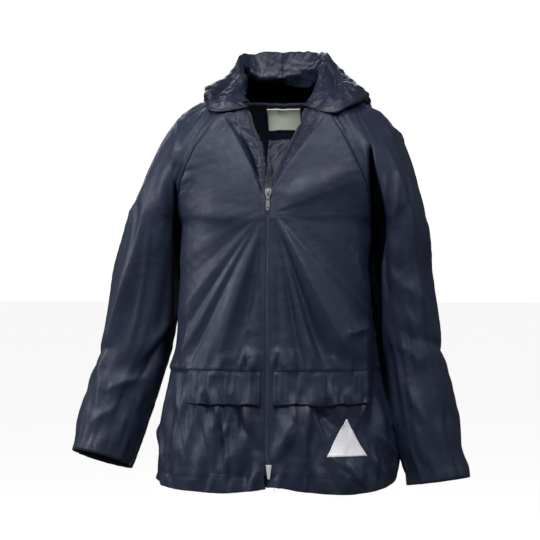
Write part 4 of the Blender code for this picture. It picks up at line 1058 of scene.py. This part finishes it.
def row_at(z):
    return float(np.interp(z, BODY_ROWS, np.arange(len(BODY_ROWS)))) * FINE


def patch(name, heights, spans, columns, lift):
    """Points and normals of a patch that lies on a front between two distances from the middle."""
    rows = np.array([row_at(z) for z in heights])
    across = np.array([np.linspace(*(float(column_at(name, row, x)) for x in span), columns)
                       for row, span in zip(rows, spans)])
    return on_panel(panels[name], rows[:, None], across, lift)


flap_cloth = {}
for side in SIDES:
    heights = np.linspace(FLAP_Z[1], FLAP_Z[0] + FLAP_TUCKED, FLAP_ROWS)
    fall = np.linspace(1.0, 0.0, FLAP_ROWS)[:, None]
    grid, normals = patch("front_" + side, heights, [FLAP_X[side]] * FLAP_ROWS, FLAP_COLUMNS,
                          (CLOTH + FLAP_WALL) / 2 + FLAP_GAP + FLAP_LIFT * np.sin(fall * math.pi / 2))
    ends = np.minimum(from_edge(grid, "first")[0], from_edge(grid, "last")[0])
    loose = np.clip(ends / FLAP_ENDS, 0.0, 1.0) * (0.25 + 0.5 * rising(from_edge(grid, "top")[0], 1.0, 7.0))
    tucks = 4.0 * ridged(grid[..., 0], grid[..., 2] * 0.3, 8.0, 63) + 1.2 * puckers(grid[-1], 6.0)[None, :]
    shift = loose * (tucks + 0.7 * facets(grid, 15.0, 61))
    grid = grid + normals * np.maximum(shift, -1.2 - FLAP_LIFT * fall * 0.5)[..., None]
    grid[..., 2] += fall * 0.9 * soft_noise(grid[:1] * (1.0, 0.0, 0.0), 17.0, 65)
    grid = grid - normals * FLAP_SUNK * bell(from_edge(grid, "top")[0], FLAP_SUNK_REACH)[..., None]
    normals = facing_out("flap_" + side, grid)
    flap_cloth[side] = (grid, normals)
    made = shell("flap_cloth_" + side, grid, normals, FLAP_WALL, (NYLON, COATING_AND_PAINTED_SHADE), inside=(0, 1))
    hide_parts("pocket_flap_" + side)

# ---- Zip --------------------------------------------------------------------------------------------
# Open-ended moulded zip: a woven tape sewn behind each front edge with acetal teeth along its own edge, a
# slider with a pull tab at the chest, a moulded box at the foot, and a nylon guard sewn in behind.
TAPE_WALL = 0.7
TAPE_BEHIND = CLOTH / 2 + 0.25 + TAPE_WALL / 2
TAPE_INSIDE, TAPE_STEPS = 8.0, 6
TAPE_OUTSIDE = 4.5
TAPE_LINE = 26  # fine points inward from the edge that the tape follows
TAPE_ROOM = 0.8
BOX_Z = -500.0
SLIDER_FOOT = -122.5
# ribs are 0.5 mm apart; drawn 1.7 mm apart so that they show
webbing = patterned("woven polyester tape, navy, matt", "Wave", {"Scale": 260.0, "Distortion": 0.8},
                    ("#171b27", "#2a3040"), {"Roughness": 0.78, "Sheen Weight": 0.15},
                    relief={"strength": 0.5, "distance": 0.0003}, bands_direction="DIAGONAL")


def zip_tape(side):
    """Tape behind the front's edge, from above the foot to the slider and on along the open edge."""
    grid, normals = panels["front_" + side]
    first = int(math.ceil(row_at(BOX_Z)))
    lines = [(grid[r, :TAPE_LINE], normals[r, :TAPE_LINE]) for r in range(first, grid.shape[0] - 1, 2)]
    lines += [(grid[::-1, c][:TAPE_LINE], normals[::-1, c][:TAPE_LINE]) for c in range(1, grid.shape[1], 2)]
    points, facings = [], []
    for line, facing in lines:
        room = np.linalg.norm(line[-1] - line[0]) * TAPE_ROOM
        inside = np.linspace(0.0, min(TAPE_INSIDE, room), TAPE_STEPS)
        laid, _ = walk(line, facing, inside, [-TAPE_BEHIND] * TAPE_STEPS)
        inward = line[2] - line[0]
        inward = unit(inward - inward @ facing[0] * facing[0])
        free = [laid[0] - inward * TAPE_OUTSIDE * share for share in (1.0, 0.66, 0.33)]
        points.append([*free, *laid])
        facings.append([facing[0]] * len(points[-1]))
    return np.array(points), np.array(facings)


tapes = {side: zip_tape(side) for side in SIDES}
for side, (grid, normals) in tapes.items():
    made = shell("tape_" + side, grid, normals, TAPE_WALL, (webbing,), "zip_tape")
    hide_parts("zip_tape_" + side)


def repeated(name, lines, unit_piece, spacing, finish):
    """Geometry Nodes: one small mesh evenly spaced along lines, turned to them and facing off the cloth."""
    points, edges, facing = [], [], []
    for line, normals in lines:
        start = len(points)
        points += (np.asarray(line) * MM).tolist()
        facing += np.asarray(normals).tolist()
        edges += [(k, k + 1) for k in range(start, len(points) - 1)]
    guide = bpy.data.meshes.new(name + "_lines")
    guide.from_pydata(points, edges, [])
    guide.attributes.new("facing", "FLOAT_VECTOR", "POINT").data.foreach_set("vector", np.ravel(facing))
    holder = linked(name + "_lines", guide)

    tree = bpy.data.node_groups.new(name + " along lines", "GeometryNodeTree")
    sockets = {}
    for label, kind in (("Lines", "Geometry"), ("Unit", "Object"), ("Spacing", "Float"), ("Finish", "Material")):
        sockets[label] = tree.interface.new_socket(name=label, in_out="INPUT", socket_type="NodeSocket" + kind)
    tree.interface.new_socket(name="Pieces", in_out="OUTPUT", socket_type="NodeSocketGeometry")
    given = add(tree, "NodeGroupInput").outputs
    curve = add(tree, "GeometryNodeMeshToCurve", {"Mesh": given["Lines"]})
    spaced = add(tree, "GeometryNodeResampleCurve", {"Curve": curve.outputs["Curve"], "Length": given["Spacing"]},
                 mode="LENGTH")
    ahead = add(tree, "GeometryNodeInputTangent").outputs["Tangent"]
    off = add(tree, "GeometryNodeInputNamedAttribute", {"Name": "facing"}, data_type="FLOAT_VECTOR")
    turned = add(tree, "FunctionNodeAxesToRotation",
                 {"Primary Axis": ahead, "Secondary Axis": off.outputs["Attribute"]},
                 primary_axis="X", secondary_axis="Z")
    source = add(tree, "GeometryNodeObjectInfo", {"Object": given["Unit"]})
    placed = add(tree, "GeometryNodeInstanceOnPoints", {"Points": spaced.outputs["Curve"],
                                                        "Instance": source.outputs["Geometry"],
                                                        "Rotation": turned.outputs["Rotation"]})
    real = add(tree, "GeometryNodeRealizeInstances", {"Geometry": placed.outputs["Instances"]})
    finished = add(tree, "GeometryNodeSetMaterial", {"Geometry": real.outputs["Geometry"],
                                                     "Material": given["Finish"]})
    add(tree, "NodeGroupOutput", {"Pieces": finished.outputs["Geometry"]})

    modifier = holder.modifiers.new("along lines", "NODES")
    modifier.node_group = tree
    for label, value in (("Unit", unit_piece), ("Spacing", spacing * MM), ("Finish", finish)):
        modifier[sockets[label].identifier] = value
    mesh = bpy.data.meshes.new_from_object(holder.evaluated_get(bpy.context.evaluated_depsgraph_get()))
    mesh.name = name
    made = linked(name, mesh)
    bpy.data.objects.remove(holder)
    bpy.data.objects.remove(unit_piece)
    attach(made, "jacket")
    return made


def unit_of(name, rings):
    """A small closed solid from rings of points, given from one end to the other."""
    sides = len(rings[0])
    points = [tuple(value * MM for value in point) for ring in rings for point in ring]
    faces = [tuple(range(sides))[::-1], tuple(range(len(points) - sides, len(points)))]
    for r in range(len(rings) - 1):
        for k in range(sides):
            a, b = r * sides + k, r * sides + (k + 1) % sides
            faces.append((a, b, b + sides, a + sides))
    mesh = bpy.data.meshes.new(name)
    mesh.from_pydata(points, [], faces)
    mesh.shade_smooth()
    return linked(name, mesh)


# Each tooth is an acetal block on the tape's edge, square where it grips and waisted behind: its sections
# from the grip to the root are a place across, half length and half height
TOOTH_PITCH = 3.1
TOOTH = ((-1.0, 0.75, 0.7), (-0.3, 0.75, 0.8), (0.2, 0.45, 0.8), (1.9, 0.6, 0.75))
TEETH_SEEN = 0.74  # share of each open edge, from the slider up
teeth_finish = patterned("acetal teeth, grey, moulded", "Noise", {"Scale": 700.0, "Detail": 2.0},
                         ("#1e2535", "#3d475d"), {"Roughness": 0.38, "IOR": 1.48}, on="piece")


def tooth_ring(across, half_length, half_height):
    return [(-half_length, across, -half_height), (half_length, across, -half_height),
            (half_length, across, half_height), (-half_length, across, half_height)]


for side, sign in SIDES.items():
    grid, normals = tapes[side]
    edge = grid[:, 0]
    top = int(np.argmax(edge[:, 2] > SLIDER_TOP + 1.0))
    foot = int(np.argmax(edge[:, 2] > SLIDER_FOOT - 1.0))
    top_end = int(top + (len(edge) - top) * TEETH_SEEN)
    lines = [(edge[:foot], normals[:foot, 0]), (edge[top:top_end], normals[top:top_end, 0])]
    if side == "left":
        lines = [(line + unit(np.gradient(line, axis=0)) * TOOTH_PITCH / 2, facing) for line, facing in lines]
    rings = [tooth_ring(sign * across, half_length, half_height) for across, half_length, half_height in TOOTH]
    unit_tooth = unit_of("tooth", rings if sign < 0 else rings[::-1])
    repeated("teeth_" + side, lines, unit_tooth, TOOTH_PITCH, teeth_finish)

GUARD_Z = (-512.0, -500.0, -440.0, -380.0, -320.0, -262.0, -205.0, -158.0, -124.0, -111.0)
GUARD_SEWN = 17.0
GUARD_ACROSS = (11.0, 2.0, -9.0)
GUARD_BEHIND = (3.0, 5.5, 5.0)
GUARD_FACETS = ((3.0, 12.0, 71), (1.3, 5.0, 72))
GUARD_GAP = 0.6
GUARD_LOOSE = 20.0  # over this length above the slider the guard crumples
GUARD_ROWS, GUARD_COLUMNS = 150, 22
GUARD_SLIDER_Z = -124.0
GUARD_SLIDER_BEHIND = (4.0, 7.8, 7.8)
GUARD_OPEN = (
    ((18, -90, -95), (11, -85, -96), (3, -84, -97), (-7, -87, -98)),
    ((20, -80, -76), (13, -75, -78), (4, -75, -79), (-6, -79, -80)),
    ((24, -70, -59), (16, -67, -60), (6, -68, -61), (-5, -72, -62)),
    ((29, -63, -43), (20, -60, -43), (8, -61, -44), (-4, -66, -44)),
)


def tape_depth(z):
    """Depth of the tapes' middle at a height below the slider's top, and the front's row there."""
    panel = panels["front_left"]
    steps = np.arange(NECK_ROW + 1)
    row = float(np.interp(z, panel[0][steps, 0, 2], steps))
    at, facing = on_panel(panel, row, 0.0, 0.0)
    return float((at - facing * TAPE_BEHIND)[1]), row


rows = []
for z in GUARD_Z:
    depth, row = tape_depth(z)
    sewn = on_panel(panels["front_left"], row, column_at("front_left", row, GUARD_SEWN), -(CLOTH + GUARD_GAP))[0]
    behind = GUARD_SLIDER_BEHIND if z >= GUARD_SLIDER_Z else GUARD_BEHIND
    rows.append([sewn] + [(x, depth + back, z) for x, back in zip(GUARD_ACROSS, behind)])
grid = np.array(rows + list(GUARD_OPEN), dtype=float)
grid = through(grid, np.linspace(0, 1, GUARD_ROWS))
grid = np.swapaxes(through(np.swapaxes(grid, 0, 1), np.linspace(0, 1, GUARD_COLUMNS)), 0, 1)
normals = unit(np.cross(np.gradient(grid, axis=1), np.gradient(grid, axis=0)))
normals = normals * -np.sign(normals[..., 1:2].mean())
loose = np.clip((grid[..., 2] - SLIDER_TOP) / GUARD_LOOSE, 0.0, 1.0)
grid = grid + normals * (loose * crumple(grid, GUARD_FACETS))[..., None]
guard = shell("guard_cloth", grid, normals, CLOTH, (COATING_AND_PAINTED_SHADE, COATING_AND_PAINTED_SHADE))
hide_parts("zip_guard")


def brushed(name, shade, roughness, metallic):
    """Plated or moulded hardware with fine scratches and uneven gloss."""
    made, tree, shader = new_material(name)
    place = add(tree, "ShaderNodeTexCoord").outputs["Object"]
    marks = add(tree, "ShaderNodeTexNoise", {"Vector": place, "Scale": 900.0, "Detail": 4.0, "Roughness": 0.7})
    varied(tree, shader, marks.outputs["Fac"], roughness, 0.1)
    raised(tree, shader, marks.outputs["Fac"], 0.15, 0.0001)
    shader.inputs["Base Color"].default_value = linear(shade)
    shader.inputs["Metallic"].default_value = metallic
    return made


CUTTER_LENGTH, CUTTER_SIDES = 30.0, 20


def pierced(mesh, openings):
    """The mesh with rounded openings through it from front to back: height of the middle, width, height."""
    for middle, wide, tall in openings:
        tool = bmesh.new()
        bmesh.ops.create_cone(tool, cap_ends=True, segments=CUTTER_SIDES, radius1=0.5, radius2=0.5, depth=1.0)
        centre = (min(v.co.y for v in mesh.vertices) + max(v.co.y for v in mesh.vertices)) / 2
        for vert in tool.verts:
            x, y, z = vert.co
            vert.co = (x * wide * MM, centre - z * CUTTER_LENGTH * MM, (middle + y * tall) * MM)
        bmesh.ops.recalc_face_normals(tool, faces=tool.faces)
        cutter_mesh = bpy.data.meshes.new("cutter")
        tool.to_mesh(cutter_mesh)
        tool.free()
        solid, cutter = linked("solid", mesh), linked("cutter", cutter_mesh)
        cut = solid.modifiers.new("opening", "BOOLEAN")
        cut.operation, cut.solver, cut.object = "DIFFERENCE", "EXACT", cutter
        mesh = bpy.data.meshes.new_from_object(solid.evaluated_get(bpy.context.evaluated_depsgraph_get()))
        bpy.data.objects.remove(solid)
        bpy.data.objects.remove(cutter)
    return mesh


def eased(node, name, finish, body, width, openings=()):
    """A smooth-edged copy of a hard CAD node."""
    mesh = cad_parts[node].data.copy()
    mesh.name = name
    work = bmesh.new()
    work.from_mesh(mesh)
    bmesh.ops.remove_doubles(work, verts=work.verts, dist=1e-5)
    bmesh.ops.dissolve_limit(work, angle_limit=math.radians(1), verts=work.verts, edges=work.edges)
    work.to_mesh(mesh)
    work.free()
    for layer in list(mesh.uv_layers):
        mesh.uv_layers.remove(layer)
    mesh = pierced(mesh, openings)
    mesh.name = name
    mesh.materials.clear()
    mesh.materials.append(finish)
    made = linked(name, mesh)
    rounded = made.modifiers.new("eased edges", "BEVEL")
    rounded.width = width * MM
    rounded.segments = 3
    rounded.angle_limit = math.radians(25)
    rounded.harden_normals = False
    mesh.shade_smooth()
    mesh.set_sharp_from_angle(angle=math.radians(35))
    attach(made, body)
    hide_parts(node)


NICKEL = brushed("nickel-plated zinc, die cast", "#a4a7ad", 0.3, 1.0)
eased("zip_slider", "slider", NICKEL, "jacket", 0.25)
eased("zip_pull_tab", "pull_tab_plate", NICKEL, "pull_tab", 0.3,
      openings=((-126.5, 2.4, 2.6), (-137.2, 2.6, 3.0)))
ACETAL = brushed("acetal, moulded, pale", "#c6c8d2", 0.42, 0.0)
eased("zip_box", "box_moulding", ACETAL, "jacket", 0.5)

# ---- Reflective triangle ----------------------------------------------------------------------------
# Glass-bead film on a cloth backing, cut as a triangle. It is sewn down round its edge, low on the left
# front, and it is stiffer than the nylon behind it.
TRIANGLE_X = 104.0
TRIANGLE_Z = (-421.0, -472.0)
TRIANGLE_BASE = 50.0
TRIANGLE_TIP = 1.5
TRIANGLE_WALL = 0.6
TRIANGLE_ROWS, TRIANGLE_COLUMNS, TRIANGLE_GAP = 34, 36, 0.2
# beads are 0.06 mm across; drawn 1.2 mm across so that they show
# near white: the pale film's own colour, raised towards white to stand for the light the glass beads send back,
# painted reflection
film = patterned("retroreflective film, glass bead", "Voronoi", {"Scale": 850.0}, ("#fcfcff", "#ececf4"),
                 {"Roughness": 0.42}, read="Distance",
                 relief={"strength": 0.12, "distance": 0.0002, "invert": True})

heights = np.linspace(TRIANGLE_Z[1], TRIANGLE_Z[0], TRIANGLE_ROWS)
halves = np.linspace(TRIANGLE_BASE / 2, TRIANGLE_TIP / 2, TRIANGLE_ROWS)
grid, normals = patch("front_left", heights, [(TRIANGLE_X - half, TRIANGLE_X + half) for half in halves],
                      TRIANGLE_COLUMNS, (CLOTH + TRIANGLE_WALL) / 2 + TRIANGLE_GAP)
triangle = (grid, normals)
made = shell("triangle_film", *triangle, TRIANGLE_WALL, (film,), "reflective")
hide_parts("reflective_triangle")

# ---- Neck label -------------------------------------------------------------------------------------
# A woven satin label, left blank. It is sewn down all round on the inside of the back, just below the
# neck seam.
LABEL_WIDTH = 48.0
LABEL_Z = (10.0, -19.0)
LABEL_WALL = 0.5
LABEL_ROWS, LABEL_COLUMNS = 20, 30
LABEL_GAP = 0.5
# ribs are 0.3 mm apart; drawn 1 mm apart so that they show
satin = patterned("woven satin label, pale", "Wave", {"Scale": 300.0, "Distortion": 0.5}, ("#e6f0da", "#f9fdf2"),
                  {"Roughness": 0.6, "Sheen Weight": 0.2}, relief={"strength": 0.3, "distance": 0.0002},
                  bands_direction="Y")

back_grid = smooth["back"][0]
middle = (back_grid.shape[1] - 1) // 2
steps = np.arange(back_grid.shape[0])
rows = np.interp(np.linspace(LABEL_Z[1], LABEL_Z[0], LABEL_ROWS), back_grid[:, middle, 2], steps)
across = np.linspace(-LABEL_WIDTH / 2, LABEL_WIDTH / 2, LABEL_COLUMNS)
columns = []
for row in rows:
    line = [np.interp(row, steps, back_grid[:, c, 0]) for c in range(back_grid.shape[1])]
    columns.append(np.interp(across, line, np.arange(len(line))))
off = (CLOTH + LABEL_WALL) / 2 + LABEL_GAP + LABEL_GAP * np.linspace(1.0, 0.0, LABEL_ROWS)[:, None]
grid, normals = on_panel(panels["back"], rows[:, None], np.array(columns), -off)
label = (grid, -normals)
made = shell("label_cloth", *label, LABEL_WALL, (satin,), "label")
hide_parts("neck_label")

# ---- Stitching --------------------------------------------------------------------------------------
# Lockstitch in navy thread: hems, cuffs, the seam at the elbow cuff, beside the raglan seams and the zip,
# round the flaps, the triangle, the label and the hood's face hem.
STITCH_PITCH = 3.2
STITCH_LENGTH = 2.5
THREAD = 0.25  # half its thickness
SUNK_THREAD = 0.3  # its middle lies this share of that off the cloth
RAGLAN_ROW, ZIP_ROW, STRIP_ROW, FLAP_ROW, HOOD_ROW = 5.0, 6.5, 6.0, 5.0, 1.0  # distances from each edge
TRIANGLE_ROW, LABEL_ROW = 2.0, 1.6
STITCH = ((-0.5, 0.35), (-0.36, 0.85), (0.0, 1.0), (0.36, 0.85), (0.5, 0.35))  # along and width, as shares
STITCH_SIDES = 6


def inset(panel, edge, distance, lift, part=slice(None)):
    """A line at one distance inside an edge of a panel, and the normals along it."""
    grid, normals = panel
    if edge in ("bottom", "top"):
        grid, normals = np.swapaxes(grid, 0, 1), np.swapaxes(normals, 0, 1)
    if edge in ("last", "top"):
        grid, normals = grid[:, ::-1], normals[:, ::-1]
    found = [walk(grid[r], normals[r], [distance], [lift]) for r in range(len(grid))[part]]
    return np.array([points[0] for points, _ in found]), np.array([facing[0] for _, facing in found])


def stitch_unit():
    turns = [math.radians(360 / STITCH_SIDES * k) for k in range(STITCH_SIDES)]
    return unit_of("stitch", [[(along * STITCH_LENGTH, THREAD * wide * math.cos(t), THREAD * wide * math.sin(t))
                               for t in turns] for along, wide in STITCH])


on_cloth = CLOTH / 2 + THREAD * SUNK_THREAD
on_flap = FLAP_WALL / 2 + THREAD * SUNK_THREAD
tube_top = slice(TUBE_COUNT, TUBE_COUNT + YOKE_COUNT)
navy_lines = [inset(panels["back"], "bottom", HEM_ROWS["back"][0], on_cloth)]
for side in SIDES:
    front, sleeve = panels["front_" + side], panels["sleeve_" + side]
    hood = (creased_hoods[side], hood_normals(creased_hoods, side))
    navy_lines.append(inset(front, "bottom", HEM_ROWS["front"][0], on_cloth))
    navy_lines += [inset(sleeve, "bottom", row, on_cloth) for row in HEM_ROWS["sleeve"]]
    navy_lines += [inset(sleeve, edge, RAGLAN_ROW, on_cloth, tube_top) for edge in ("first", "last")]
    navy_lines.append(inset(front, "first", ZIP_ROW, on_cloth, slice(0, NECK_ROW - 7)))
    navy_lines.append(inset(front, "top", STRIP_ROW, on_cloth, slice(6, -8)))
    navy_lines += [inset(flap_cloth[side], edge, FLAP_ROW, on_flap, slice(2, -2))
                   for edge in ("first", "last", "bottom")]
    navy_lines.append(inset(hood, "top", HOOD_ROW, on_cloth, slice(4, -2)))
pale_lines = [inset(triangle, edge, TRIANGLE_ROW, TRIANGLE_WALL / 2 + 0.1, slice(2, -2))
              for edge in ("first", "last", "bottom")]
label_lines = [inset(label, edge, LABEL_ROW, LABEL_WALL / 2 + 0.1, slice(1, -1))
               for edge in ("first", "last", "bottom", "top")]
for name, lines, colour, shades, slot in (
        ("stitches_navy", navy_lines, "navy", ("#121726", "#1b2134"), "shell"),
        ("stitches_triangle", pale_lines, "pale", ("#b9bac6", "#d8d9e4"), "reflective"),
        ("stitches_label", label_lines, "cream", ("#aab59c", "#c9d3bb"), "label")):
    thread = patterned("polyester thread, " + colour, "Noise", {"Scale": 1200.0, "Detail": 2.0}, shades,
                       {"Roughness": 0.7, "Specular IOR Level": 0.25}, on="piece")
    repeated(name, lines, stitch_unit(), STITCH_PITCH, thread)

# ---- Stage, light and camera ------------------------------------------------------------------------
# A white floor well below the hem and a plain white studio round it. Lamps light the jacket from above,
# in front, both sides and behind, and a long lens is level with the chest. Their places are in metres.
FLOOR_Z = -950.0
FLOOR_REACH = 40.0
WHITE = (1.0, 1.0, 1.0, 1.0)
floor_mesh = bpy.data.meshes.new("floor")
floor_mesh.from_pydata([(x * FLOOR_REACH, y * FLOOR_REACH, FLOOR_Z * MM)
                        for x, y in ((-1, -1), (1, -1), (1, 1), (-1, 1))], [], [(0, 1, 2, 3)])
floor = linked("floor", floor_mesh)
pale, tree, shader = new_material("matt paint, white")
# the floor is seen white, and it throws only a little light back up
direct = add(tree, "ShaderNodeLightPath").outputs["Is Camera Ray"]
coloured(tree, shader, direct, ("#6a6a6a", "#fafafa"))
glow = add(tree, "ShaderNodeMath", {0: direct, 1: 0.66}, operation="MULTIPLY")
tree.links.new(glow.outputs["Value"], shader.inputs["Emission Strength"])
shader.inputs["Emission Color"].default_value = WHITE
shader.inputs["Roughness"].default_value = 0.9
floor_mesh.materials.append(pale)

world = bpy.data.worlds.new("studio")
bpy.context.scene.world = world
world.use_nodes = True
sky = world.node_tree
back_light = sky.nodes["Background"]
seen = add(sky, "ShaderNodeLightPath").outputs["Is Camera Ray"]
level = add(sky, "ShaderNodeMapRange", {"Value": seen, "To Min": 0.12, "To Max": 1.05})
sky.links.new(level.outputs["Result"], back_light.inputs["Strength"])
back_light.inputs["Color"].default_value = WHITE


def lamp(name, kind, place, aim, energy, **settings):
    light = bpy.data.lights.new(name, kind)
    light.energy = energy
    for key, value in settings.items():
        setattr(light, key, value)
    item = linked(name, light)
    item.location = place
    item.rotation_euler = (Vector(aim) - Vector(place)).to_track_quat("-Z", "Y").to_euler()


CHEST = (0.0, 0.0, -0.2)
lamp("overhead", "SUN", (-0.3, -0.8, 2.0), CHEST, 0.6, angle=math.radians(20))
lamp("key", "AREA", (-0.45, -1.15, 0.9), CHEST, 15.0, shape="DISK", size=0.5)
lamp("front", "AREA", (0.8, -1.2, 0.9), CHEST, 13.0, shape="DISK", size=0.35)
lamp("left side", "AREA", (2.0, -0.2, 0.8), CHEST, 3.0, shape="DISK", size=1.0)
lamp("right side", "AREA", (-2.0, -0.5, 0.5), CHEST, 24.0, shape="DISK", size=1.0)
lamp("rear", "AREA", (-0.5, 2.2, 0.7), CHEST, 28.0, shape="DISK", size=1.8)

AZIMUTH = math.radians(7.5)
DISTANCE, EYE_Z, SIDE_STEP = 2.6, -0.221, -0.0112
camera = linked("camera", bpy.data.cameras.new("camera"))
camera.data.sensor_width = 36.0
camera.data.lens = 123.8
along = Vector((math.cos(AZIMUTH), math.sin(AZIMUTH), 0.0))
camera.location = Vector((math.sin(AZIMUTH), -math.cos(AZIMUTH), 0.0)) * DISTANCE + along * SIDE_STEP
camera.location.z = EYE_Z
camera.rotation_euler = (math.radians(90), 0.0, AZIMUTH)
bpy.context.scene.camera = camera
bpy.context.scene.view_settings.view_transform = "Standard"
